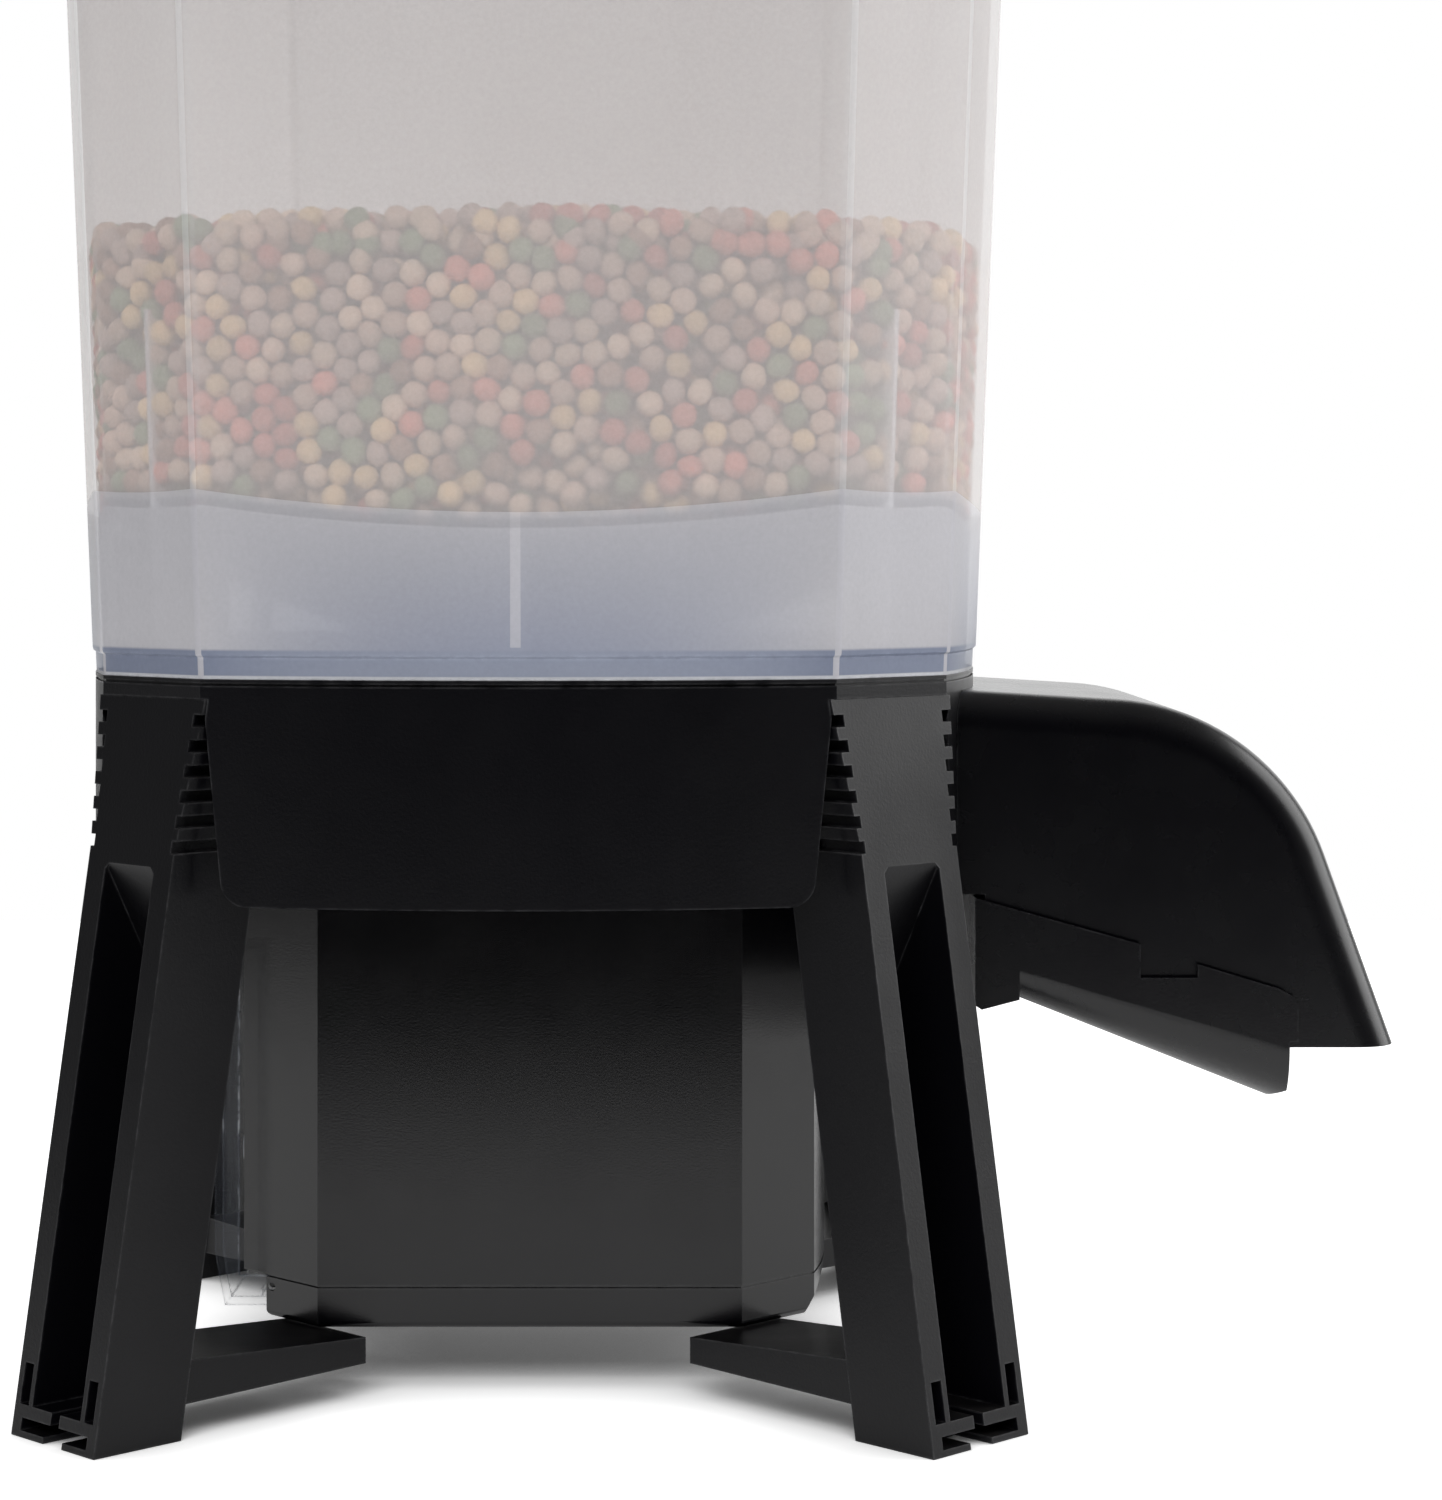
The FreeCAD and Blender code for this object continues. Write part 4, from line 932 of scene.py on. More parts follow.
class GrowTree(Nodes):
    """A Geometry Nodes tree with a geometry going in and out."""

    def __init__(self, name: str, inputs: dict[str, object]) -> None:
        """Make the tree and its sockets.

        Args:
            name: The tree's name.
            inputs: Default of each named input; an object or material makes a socket of that kind.
        """
        super().__init__(bpy.data.node_groups.new(name, "GeometryNodeTree"))
        self.tree.interface.new_socket("Geometry", in_out="INPUT", socket_type="NodeSocketGeometry")
        self.tree.interface.new_socket("Geometry", in_out="OUTPUT", socket_type="NodeSocketGeometry")
        kinds = {bpy.types.Object: "NodeSocketObject", bpy.types.Material: "NodeSocketMaterial",
                 int: "NodeSocketInt", float: "NodeSocketFloat", bpy.types.Mesh: "NodeSocketObject"}
        self.keys: dict[str, str] = {}
        self.values = inputs
        for key, value in inputs.items():
            socket = self.tree.interface.new_socket(key, in_out="INPUT", socket_type=kinds[type(value)])
            self.keys[key] = socket.identifier
        self.given = self.add("NodeGroupInput")
        self.result = self.add("NodeGroupOutput")

    def finish(self, geometry: object) -> None:
        """Realize the instances, set the material and end the tree.

        Args:
            geometry: Socket or node of the finished geometry.
        """
        real = self.add("GeometryNodeRealizeInstances", Geometry=geometry)
        smooth = self.add("GeometryNodeSetShadeSmooth", Geometry=real)
        self.put(self.result, "Geometry",
                 self.add("GeometryNodeSetMaterial", Geometry=smooth,
                          Material=self.given.outputs["Material"]))

    def grow(self, name: str, seeds: bpy.types.Mesh) -> bpy.types.Object:
        """Run the tree on a mesh and keep the plain result.

        Args:
            name: Name of the new piece.
            seeds: Mesh that the tree starts from.

        Returns:
            The new piece, with no modifier left.
        """
        piece = new_object(name, seeds)
        modifier = piece.modifiers.new("grown", "NODES")
        modifier.node_group = self.tree
        for key, value in self.values.items():
            modifier[self.keys[key]] = value
        made = baked(piece)
        material = self.values["Material"]
        made.materials.clear()
        made.materials.append(material)
        made.polygons.foreach_set("material_index", [0] * len(made.polygons))
        piece.data = made
        made.name = name
        return piece


def seed_mesh(points: Sequence[Sequence[float]], **attributes: Sequence) -> bpy.types.Mesh:
    """Make a mesh of loose points that carry attributes.

    Args:
        points: Positions.
        attributes: Numbers or vectors for each point, by name.

    Returns:
        The point mesh.
    """
    mesh = bpy.data.meshes.new("seeds")
    mesh.from_pydata([tuple(p) for p in points], [], [])
    for name, values in attributes.items():
        flat = np.asarray(values, dtype=np.float32)
        if flat.ndim == 2:
            mesh.attributes.new(name, "FLOAT_VECTOR", "POINT").data.foreach_set("vector", flat.ravel())
        else:
            mesh.attributes.new(name, "FLOAT", "POINT").data.foreach_set("value", flat)
    return mesh


def stamped(name: str, shape: bpy.types.Mesh, places: Sequence[Sequence[float]],
            turns: Sequence[Sequence[float]],
            finish: Finish) -> bpy.types.Object:
    """Repeat one shape at several places.

    Args:
        name: Name of the new piece.
        shape: Mesh to repeat, about its own origin.
        places: Where the copies go.
        turns: Euler rotation of each copy, in radians.
        finish: Their finish.

    Returns:
        One piece with all the copies.
    """
    stamp = bpy.data.objects.new(name + "_stamp", shape)
    tree = GrowTree("place_" + name, {"Shape": stamp, "Material": finish.make()})
    info = tree.add("GeometryNodeObjectInfo", Object=tree.given.outputs["Shape"])
    turn = tree.add("GeometryNodeInputNamedAttribute", {"data_type": "FLOAT_VECTOR"}, Name="turn")
    spread = tree.add("GeometryNodeInstanceOnPoints", Points=tree.given.outputs["Geometry"],
                      Instance=info.outputs["Geometry"], Rotation=turn)
    tree.finish(spread)
    piece = tree.grow(name, seed_mesh(places, turn=turns))
    bpy.data.objects.remove(stamp)
    piece.data.set_sharp_from_angle(angle=math.radians(35.0))
    return piece


def quarter_turned(name: str, shape: bpy.types.Mesh, first: float, finish: Finish,
                   count: int = 4) -> bpy.types.Object:
    """Repeat a shape about the Z axis.

    Args:
        name: Name of the new piece.
        shape: Mesh of the first copy, lying along +X.
        first: Turn of the first copy, in degrees.
        finish: The copies' finish.
        count: Number of copies.

    Returns:
        One piece with all the copies.
    """
    turns = [(0.0, 0.0, math.radians(first + 360.0 * i / count)) for i in range(count)]
    return stamped(name, shape, [(0.0, 0.0, 0.0)] * count, turns, finish)


# ---------------------------------------------------------------- outline of the body

@dataclass(frozen=True)
class Outline:
    """The octagonal plan that the hopper, its lid and the base's collar share."""

    face_half: float = 71.0 * MM
    corner: float = 97.2 * MM
    bulge: float = 10.6 * MM
    seat: float = 169.0 * MM
    rim: float = 395.0 * MM
    top_scale: float = 1.081
    corner_round: float = 3.6 * MM
    arc_steps: int = 14
    chamfer_steps: int = 4

    def scale(self, z: float) -> float:
        """Give the plan's scale at a height.

        Args:
            z: Height.

        Returns:
            Scale of the plan there.
        """
        return 1.0 + (self.top_scale - 1.0) * (z - self.seat) / (self.rim - self.seat)

    def ring(self, z: float, inset: float = 0.0, scale: float | None = None) -> list[Vector]:
        """Give the plan as a ring of points with rounded corners.

        Args:
            z: Height of the ring.
            inset: Distance inwards from the outline.
            scale: Scale of the plan; None takes the hopper's own at that height.

        Returns:
            Points once round, from the front of the +X wall.
        """
        grow = self.scale(z) if scale is None else scale
        radius = (self.face_half ** 2 + self.bulge ** 2) / (2 * self.bulge) * grow
        centre = (self.corner + self.bulge) * grow - radius
        radius -= inset
        reach = (self.face_half + self.corner) * grow - inset * math.sqrt(2) - centre
        y_end = (reach - math.sqrt(2 * radius ** 2 - reach ** 2)) / 2
        half_turn = math.asin(y_end / radius)
        corner_turn = math.pi / 4 - half_turn
        cut = max(0.5 * MM, self.corner_round - inset * 0.3) * math.tan(corner_turn / 2)
        wall_cut = cut / radius
        quarter: list[Vector] = []
        for i in range(self.arc_steps + 1):
            angle = (half_turn - wall_cut) * (2 * i / self.arc_steps - 1)
            quarter.append(Vector((centre + radius * math.cos(angle), radius * math.sin(angle), z)))
        x_end = centre + radius * math.cos(half_turn)
        corner_a, corner_b = Vector((x_end, y_end, z)), Vector((y_end, x_end, z))
        along = (corner_b - corner_a).normalized()
        start, end = corner_a + along * cut, corner_b - along * cut
        quarter += self.blend(quarter[-1], corner_a, start)
        quarter += [start.lerp(end, i / self.chamfer_steps) for i in range(self.chamfer_steps + 1)]
        next_first = Matrix.Rotation(math.pi / 2, 3, "Z") @ Vector((quarter[0].x, quarter[0].y, 0.0))
        quarter += self.blend(end, corner_b, Vector((next_first.x, next_first.y, z)))
        return [Matrix.Rotation(turn * math.pi / 2, 3, "Z") @ point
                for turn in range(4) for point in quarter]

    @staticmethod
    def blend(first: Vector, corner: Vector, last: Vector, steps: int = 3) -> list[Vector]:
        """Round a corner.

        Args:
            first: Where the rounding starts.
            corner: The sharp corner.
            last: Where it ends.
            steps: Points between the two ends, which are left out.

        Returns:
            The points between the ends.
        """
        points = []
        for i in range(1, steps + 1):
            t = i / (steps + 1)
            points.append(first * (1 - t) ** 2 + corner * 2 * t * (1 - t) + last * t ** 2)
        return points


# ---------------------------------------------------------------- hopper

@dataclass
class Hopper:
    """Frosted hopper with its funnel, throat and ribs."""

    plan: Outline = field(default_factory=Outline)
    wall: float = 2.4 * MM
    funnel_centre: float = 161.15 * MM
    funnel_slope: float = 0.41
    funnel_wall: float = 2.4 * MM
    throat: float = 60.0 * MM
    frame_wall: float = 3.0 * MM
    step_top: float = 174.0 * MM
    rib_foot: float = 176.3 * MM

    def cone(self, radius: float, drop: float = 0.0) -> float:
        """Give the funnel's height.

        Args:
            radius: Distance from the centre line.
            drop: Distance below the upper surface.

        Returns:
            Height there.
        """
        return self.funnel_centre + self.funnel_slope * radius - drop

    def on_cone(self, ring: Sequence[Vector], drop: float = 0.0) -> list[Vector]:
        """Drop a ring onto the funnel.

        Args:
            ring: Points in plan.
            drop: Distance below the upper surface.

        Returns:
            The points at the funnel's height.
        """
        return [Vector((p.x, p.y, self.cone(math.hypot(p.x, p.y), drop))) for p in ring]

    def square(self, ring: Sequence[Vector], half: float) -> list[Vector]:
        """Project a ring onto the square throat along its own directions.

        Args:
            ring: Points in plan.
            half: Half the square's side.

        Returns:
            Points on the square, in the same order.
        """
        return [Vector((p.x, p.y, 0.0)) * (half / max(abs(p.x), abs(p.y))) for p in ring]

    def wall_on_cone(self, inset: float, drop: float = 0.0) -> list[Vector]:
        """Give the line where the wall meets the funnel.

        Args:
            inset: Distance of the wall's surface from the outline.
            drop: Distance below the funnel's upper surface.

        Returns:
            Points of that line.
        """
        ring = self.plan.ring(207 * MM, inset)
        for _ in range(3):
            heights = [p.z for p in self.on_cone(ring, drop)]
            ring = [self.plan.ring(z, inset)[i] for i, z in enumerate(heights)]
        return ring

    def build(self) -> list[bpy.types.Object]:
        """Build the tub and its ribs.

        Returns:
            The finished pieces.
        """
        plan, t = self.plan, self.wall
        half, frame_half = self.throat / 2, self.throat / 2 + self.frame_wall
        inner_line = self.wall_on_cone(t)
        outer_line = self.wall_on_cone(0.0)
        outer_square = self.square(inner_line, half)
        frame_ring = self.square(inner_line, frame_half)
        down = [self.on_cone([a.lerp(b, s) for a, b in zip(inner_line, outer_square)])
                for s in (0.33, 0.66, 1.0)]
        under_line = self.wall_on_cone(t, self.funnel_wall)
        under_frame = self.on_cone(frame_ring, self.funnel_wall)
        back = [self.on_cone([a.lerp(b, s) for a, b in zip(frame_ring, under_line)], self.funnel_wall)
                for s in (0.33, 0.66)]
        flat = lambda ring, z: [Vector((p.x, p.y, z)) for p in ring]
        rings = [
            plan.ring(plan.seat, 0.7 * MM), plan.ring(self.step_top - 0.2 * MM, 0.7 * MM),
            plan.ring(self.step_top, 0.5 * MM), plan.ring(self.step_top + 0.3 * MM, 0.1 * MM),
            plan.ring(self.step_top + 0.8 * MM), plan.ring(190 * MM), outer_line,
            plan.ring(250 * MM), plan.ring(320 * MM), plan.ring(390.6 * MM),
            plan.ring(391 * MM, -0.3 * MM),
            plan.ring(391.2 * MM, -1.3 * MM), plan.ring(391.7 * MM, -1.6 * MM),
            plan.ring(394.3 * MM, -1.6 * MM), plan.ring(394.9 * MM, -1.1 * MM),
            plan.ring(395 * MM, -0.4 * MM),
            plan.ring(395 * MM, t - 0.5 * MM), plan.ring(394.6 * MM, t), plan.ring(320 * MM, t),
            plan.ring(250 * MM, t),
            inner_line, *down, flat(outer_square, plan.seat), flat(frame_ring, plan.seat), under_frame,
            *back,
            under_line, plan.ring(plan.seat, t),
        ]
        foot_rows = {0, 1, 2, 3, 4, 5} | set(range(20, len(rings)))
        corner_columns = {14, 15, 16, 17, 22, 23, 24, 25}
        mesh = lathe_loft(rings, close=True, smooth=35.0)
        count = len(rings[0])
        for material in (HOPPER_WALL, HOPPER_FOOT, HOPPER_EDGE_HIGHLIGHT, HOPPER_FOOT_EDGE_HIGHLIGHT):
            mesh.materials.append(material.make())
        for index, polygon in enumerate(mesh.polygons):
            row, column = divmod(index, count)
            # The corner columns take the edge copies, a painted highlight line down each wall-to-chamfer
            # corner.
            edge = column % (count // 4) in corner_columns
            polygon.material_index = (1 if row in foot_rows else 0) + (2 if edge and row < 20 else 0)
        tub = new_object("hopper_tub", mesh)
        finish_piece(tub, Body.HOPPER, Slot.FROSTED, "hopper", "hopper_funnel")
        return [tub, *self.ribs()]

    def ribs(self) -> list[bpy.types.Object]:
        """Build the four ribs under the funnel and the four in the chamfers.

        Returns:
            Two pieces of four ribs each.
        """
        plan = self.plan
        wall_x = lambda z: (plan.corner + plan.bulge) * plan.scale(z) - self.wall
        under = rib_plate([(78 * MM, self.rib_foot), (wall_x(self.rib_foot) - 0.1 * MM, self.rib_foot),
                           (wall_x(204 * MM) - 0.1 * MM,
                            self.cone(wall_x(204 * MM), self.funnel_wall) - 0.1 * MM),
                           (78 * MM, self.cone(78 * MM, self.funnel_wall) - 0.1 * MM)], 2.3 * MM)
        diagonal = lambda z: (plan.face_half + plan.corner) / math.sqrt(2) * plan.scale(z) - self.wall
        corner = rib_plate([(109.5 * MM, self.rib_foot),
                            (diagonal(self.rib_foot) - 0.1 * MM, self.rib_foot),
                            (diagonal(252 * MM) - 0.1 * MM, 252 * MM),
                            (diagonal(252 * MM) - 3 * MM, 252 * MM),
                            (diagonal(246 * MM) - 7 * MM, 246 * MM), (109.5 * MM, 240 * MM)], 1.6 * MM)
        pieces = []
        for name, shape, first in (("hopper_wall_ribs", under, 0.0), ("hopper_corner_ribs", corner, 45.0)):
            ribs = quarter_turned(name, shape, first, HOPPER_RIB)
            pieces.append(finish_piece(ribs, Body.HOPPER, Slot.FROSTED))
        return pieces


def rib_plate(outline: Sequence[tuple[float, float]], thickness: float) -> bpy.types.Mesh:
    """Make an upright plate with slightly rounded edges.

    Args:
        outline: Its corners as (x, z).
        thickness: Thickness across Y.

    Returns:
        The plate's mesh.
    """
    half, count = thickness / 2, len(outline)
    verts = [(x, y, z) for y in (-half, half) for x, z in outline]
    faces = [tuple(range(count)), tuple(range(2 * count - 1, count - 1, -1))]
    faces += [(i, (i + 1) % count, count + (i + 1) % count, count + i) for i in range(count)]
    plate = new_object("plate", mesh_from(verts, faces))
    bevelled(plate, 0.25 * MM)
    mesh = baked(plate)
    bpy.data.objects.remove(plate)
    return mesh


# ---------------------------------------------------------------- pellets

@dataclass
class PelletFill:
    """Round pellets that fill the hopper's lower part; those that can be seen are modelled one by one."""

    hopper: Hopper
    size: float = 6.3 * MM
    surface: float = 273.5 * MM
    layers: int = 3
    seed: int = 7

    def relax(self, points: np.ndarray, spacing: float, wrap: float | None,
              rounds: int = 30) -> np.ndarray:
        """Push points apart until they lie like grains.

        Args:
            points: Positions, (n, 2).
            spacing: Distance that they want.
            wrap: Length after which the first coordinate comes round again, or None.
            rounds: Number of pushes.

        Returns:
            The moved points.
        """
        low, high = points.min(axis=0), points.max(axis=0)
        for _ in range(rounds):
            order = np.argsort(points[:, 0])
            points = points[order]
            move = np.zeros_like(points)
            for step in range(1, 60):
                other = np.roll(points, -step, axis=0)
                delta = other - points
                if wrap:
                    delta[:, 0] -= np.round(delta[:, 0] / wrap) * wrap
                elif step:
                    delta[-step:, 0] = 1.0
                gap = np.hypot(delta[:, 0], delta[:, 1])
                push = np.where((gap < spacing) & (gap > 1e-9),
                                (spacing - gap) / np.maximum(gap, 1e-9) * 0.28, 0.0)
                shift = delta * push[:, None]
                move -= shift
                move += np.roll(shift, step, axis=0)
            points = points + np.clip(move, -spacing * 0.3, spacing * 0.3)
            points[:, 1] = np.clip(points[:, 1], low[1], high[1])
            if not wrap:
                points[:, 0] = np.clip(points[:, 0], low[0], high[0])
        return points

    def scatter(self, width: float, height: float, spacing: float, wrap: bool,
                rng: np.random.Generator) -> np.ndarray:
        """Fill a strip with evenly packed points.

        Args:
            width: Length of the strip.
            height: Its height.
            spacing: Distance between neighbours.
            wrap: Whether the strip closes into a ring.
            rng: Random numbers.

        Returns:
            Positions, (n, 2).
        """
        count = int(width * height / (spacing ** 2 * 0.93))
        points = rng.random((count, 2)) * (width, height)
        return self.relax(points, spacing, width if wrap else None)

    def wall_layer(self, layer: int, rng: np.random.Generator) -> list[tuple[float, float, float]]:
        """Place the pellets that touch the wall, or lie one or two pellets behind.

        Args:
            layer: 0 for the pellets at the wall.
            rng: Random numbers.

        Returns:
            Pellet centres.
        """
        plan, depth = self.hopper.plan, self.hopper.wall + self.size * (0.53 + 0.80 * layer)
        ring = plan.ring(240 * MM, depth)
        ends = np.array([(p.x, p.y) for p in ring + ring[:1]])
        run = np.concatenate(([0.0], np.cumsum(np.hypot(*np.diff(ends, axis=0).T))))
        low, places = 200 * MM, []
        for s, up in self.scatter(run[-1], self.surface - low, self.size * 0.97, True, rng):
            s = s % run[-1]
            x, y = np.interp(s, run, ends[:, 0]), np.interp(s, run, ends[:, 1])
            z = low + up
            grow = 1.0 + 0.36 * (z - 240 * MM)
            x, y = x * grow, y * grow
            jitter = rng.uniform(-0.3, 0.5) * MM
            pull = 1.0 - jitter / math.hypot(x, y)
            x, y = x * pull, y * pull
            floor = self.hopper.cone(math.hypot(x, y)) + self.size * 0.52
            top = self.surface - self.size * 0.5 + self.swell(x, y)
            if floor < z < top:
                places.append((x, y, z))
        return places

    def swell(self, x: float, y: float) -> float:
        """Give the uneven top surface of the fill.

        Args:
            x: Place.
            y: Place.

        Returns:
            Height above the mean surface.
        """
        return (0.4 * math.sin(x * 31 + 1.0) + 0.3 * math.sin(y * 43 + x * 17)
                + 0.2 * math.sin(x * 90 - y * 70)) * MM

    def top_layer(self, layer: int, rng: np.random.Generator) -> list[tuple[float, float, float]]:
        """Place the pellets on the surface, or one pellet below.

        Args:
            layer: 0 for the uppermost.
            rng: Random numbers.

        Returns:
            Pellet centres.
        """
        limit = 100 * MM
        inset = self.hopper.wall + self.size * 0.55
        outline = np.array([(p.x, p.y) for p in self.hopper.plan.ring(self.surface, inset)])
        angles = np.arctan2(outline[:, 1], outline[:, 0])
        order = np.argsort(angles)
        reach = np.hypot(outline[:, 0], outline[:, 1])[order]
        places = []
        for x, y in self.scatter(2.3 * limit, 2.3 * limit, self.size * 0.985, False, rng):
            x, y = x - 1.15 * limit, y - 1.15 * limit
            if math.hypot(x, y) < np.interp(math.atan2(y, x), angles[order], reach, period=2 * math.pi):
                z = (self.surface - self.size * (0.5 + 0.8 * layer) + self.swell(x, y)
                     + rng.uniform(-0.4, 0.4) * MM)
                places.append((x, y, z))
        return places

    def tree(self) -> GrowTree:
        """Make the tree that turns points into pellets.

        Returns:
            The tree, with named inputs for size, lumps, seed and material.
        """
        tree = GrowTree("grow_pellets", {"Size": self.size, "Lump": 0.55 * MM, "Seed": self.seed,
                                         "Material": PELLET.make()})
        given = tree.given.outputs
        radius = tree.math("MULTIPLY", given["Size"], 0.5)
        grain = tree.add("GeometryNodeMeshIcoSphere", Radius=radius, Subdivisions=2)
        turn = tree.add("FunctionNodeRandomValue", {"data_type": "FLOAT_VECTOR"}, Seed=given["Seed"])
        tree.put(turn, 0, (0.0, 0.0, 0.0))
        tree.put(turn, 1, (math.tau, math.tau, math.tau))
        size = tree.add("FunctionNodeRandomValue", {"data_type": "FLOAT_VECTOR"}, Seed=given["Seed"])
        tree.put(size, 0, (0.92, 0.92, 0.84))
        tree.put(size, 1, (1.05, 1.05, 1.02))
        spread = tree.add("GeometryNodeInstanceOnPoints", Points=given["Geometry"], Instance=grain,
                          Rotation=turn, Scale=size)
        real = tree.add("GeometryNodeRealizeInstances", Geometry=spread)
        where = tree.add("GeometryNodeInputPosition")
        lumps = tree.add("ShaderNodeTexNoise", Vector=where, Scale=230.0, Detail=1.0)
        centred = tree.add("ShaderNodeVectorMath", {"operation": "SUBTRACT"})
        tree.put(centred, 0, lumps.outputs["Color"])
        tree.put(centred, 1, (0.5, 0.5, 0.5))
        push = tree.add("ShaderNodeVectorMath", {"operation": "SCALE"},
                        Scale=tree.math("MULTIPLY", given["Lump"], 2.0))
        tree.put(push, 0, centred)
        tree.finish(tree.add("GeometryNodeSetPosition", Geometry=real, Offset=push))
        return tree

    def build(self) -> list[bpy.types.Object]:
        """Build the pellets, in one piece for each wall, and the dark heap of painted shade behind them.

        Returns:
            The finished pieces.
        """
        rng = np.random.default_rng(self.seed)
        places: list[tuple[float, float, float]] = []
        for layer in range(self.layers):
            places += self.wall_layer(layer, rng)
        for layer in range(2):
            places += self.top_layer(layer, rng)
        LOG.info("%d pellets", len(places))
        spots = np.array(places)
        bearing = np.arctan2(spots[:, 1], spots[:, 0])
        side = np.floor((bearing + math.pi / 4) / (math.pi / 2)).astype(int) % 4
        tree, pieces = self.tree(), [self.shade_bed()]
        for turn, word in enumerate(("spout", "rear", "panel", "front")):
            chosen = spots[side == turn]
            seeds = seed_mesh(chosen, tone=rng.random(len(chosen)), shade=rng.random(len(chosen)))
            piece = tree.grow(f"pellets_{word}_side", seeds)
            pieces.append(finish_piece(piece, Body.HOPPER, None))
        return pieces

    def shade_bed(self) -> bpy.types.Object:
        """Build the dark heap that fills the middle, painted shade for the pellets deep inside.

        Returns:
            The finished piece.
        """
        hopper, depth = self.hopper, 15 * MM
        wall = hopper.plan.ring(240 * MM, depth)
        lift = 6.0 * MM
        throat = hopper.square(wall, hopper.throat / 2 - 2 * MM)
        low = [[Vector((p.x, p.y, hopper.cone(math.hypot(p.x, p.y)) + lift)) for p in
                (a.lerp(b, s) for a, b in zip(throat, wall))] for s in (0.0, 0.35, 0.7, 1.0)]
        top = self.surface - 9 * MM
        high = [[Vector((p.x * s, p.y * s, top + self.swell(p.x * s, p.y * s))) for p in wall]
                for s in (1.0, 0.8, 0.6, 0.4, 0.2, 0.03)]
        middle = [[Vector((p.x, p.y, 222 * MM)) for p in wall],
                  [Vector((p.x, p.y, 245 * MM)) for p in wall]]
        shade_bed = new_object("pellet_bed", lathe_loft(low + middle + high, smooth=60.0), PELLET_SHADE_BED)
        return finish_piece(shade_bed, Body.HOPPER, None)


# ---------------------------------------------------------------- lid

@dataclass
class Lid:
    """Black lid with a crowned top, a dished grip and a soft seal."""

    plan: Outline = field(default_factory=Outline)
    top: float = 409.0 * MM
    skirt_foot: float = 383.0 * MM
    outset: float = 4.6 * MM
    dish: float = 40.0 * MM
    dish_depth: float = 9.0 * MM
    grip_half: float = 8.0 * MM

    def disc(self, ring: Sequence[Vector], radius: float, z: float) -> list[Vector]:
        """Project a ring onto a circle along its own directions.

        Args:
            ring: Points in plan.
            radius: The circle's radius.
            z: Height.

        Returns:
            Points on the circle.
        """
        return [Vector((p.x, p.y, 0.0)).normalized() * radius + Vector((0.0, 0.0, z)) for p in ring]

    def build(self) -> list[bpy.types.Object]:
        """Build the lid.

        Returns:
            The finished pieces.
        """
        plan, s = self.plan, self.plan.top_scale
        ring = lambda z, inset: plan.ring(z, inset, s)
        edge = ring(self.top, 10 * MM)
        out = -self.outset
        rings = [
            ring(self.skirt_foot, out + 1.6 * MM), ring(self.skirt_foot, out + 0.4 * MM),
            ring(self.skirt_foot + 0.4 * MM, out), ring(400.2 * MM, out), ring(401.4 * MM, out + 0.5 * MM),
            ring(402.6 * MM, out + 1.9 * MM), ring(407.6 * MM, 7.2 * MM), ring(408.6 * MM, 9.4 * MM),
            ring(self.top, 12.5 * MM), self.disc(edge, 46 * MM, self.top),
            self.disc(edge, 41.2 * MM, self.top),
            self.disc(edge, 40.3 * MM, self.top - 0.4 * MM),
            self.disc(edge, self.dish, self.top - 1.2 * MM),
            self.disc(edge, self.dish, self.top - self.dish_depth + 1.5 * MM),
            self.disc(edge, self.dish - 1.5 * MM, self.top - self.dish_depth),
            self.disc(edge, 12 * MM, self.top - self.dish_depth),
            self.disc(edge, 2 * MM, self.top - self.dish_depth),
            self.disc(edge, 2 * MM, self.top - 11.5 * MM), self.disc(edge, 43 * MM, self.top - 11.5 * MM),
            self.disc(edge, 43 * MM, self.top - 2.6 * MM), ring(self.top - 2.6 * MM, 13.5 * MM),
            ring(397 * MM, 5.7 * MM), ring(386 * MM, 5.6 * MM), ring(386 * MM, 3.2 * MM),
            ring(394.6 * MM, 3.2 * MM),
            ring(396.6 * MM, 2.4 * MM), ring(396.6 * MM, -1.2 * MM), ring(395 * MM, -2.2 * MM),
        ]
        shell = new_object("lid_shell", lathe_loft(rings, close=True, smooth=35.0), SATIN_BLACK)
        grip = new_object("lid_grip", self.grip(), SATIN_BLACK)
        seal = [ring(395.1 * MM, -0.9 * MM), ring(395.8 * MM, -1.0 * MM), ring(396.5 * MM, -0.8 * MM),
                ring(396.5 * MM, 1.6 * MM), ring(395.8 * MM, 1.8 * MM), ring(395.1 * MM, 1.7 * MM)]
        soft = new_object("lid_seal_ring", lathe_loft(seal, close=True, smooth=50.0), GREY_SEAL)
        finish_piece(shell, Body.LID, Slot.BLACK, "lid")
        finish_piece(grip, Body.LID, Slot.BLACK, "lid")
        finish_piece(soft, Body.LID, Slot.SEAL, "lid_seal")
        return [shell, grip, soft]

    def grip(self) -> bpy.types.Mesh:
        """Make the bar across the dish, with a hollowed middle for fingers.

        Returns:
            The bar's mesh.
        """
        floor, top = self.top - self.dish_depth - 0.5 * MM, self.top - 0.4 * MM
        rings = []
        for i in range(25):
            x = (i / 24 * 2 - 1) * (self.dish + 0.6 * MM)
            waist = 0.72 + 0.28 * min(1.0, (x / (0.8 * self.dish)) ** 2)
            half = self.grip_half * waist
            section = [(-half, floor), (-half, top - 2.5 * MM), (-half + 0.7 * MM, top - 0.8 * MM),
                       (-half + 2.5 * MM, top), (half - 2.5 * MM, top), (half - 0.7 * MM, top - 0.8 * MM),
                       (half, top - 2.5 * MM), (half, floor)]
            rings.append([Vector((x, y, z)) for y, z in section])
        return lathe_loft(rings, smooth=50.0)


# ---------------------------------------------------------------- screws

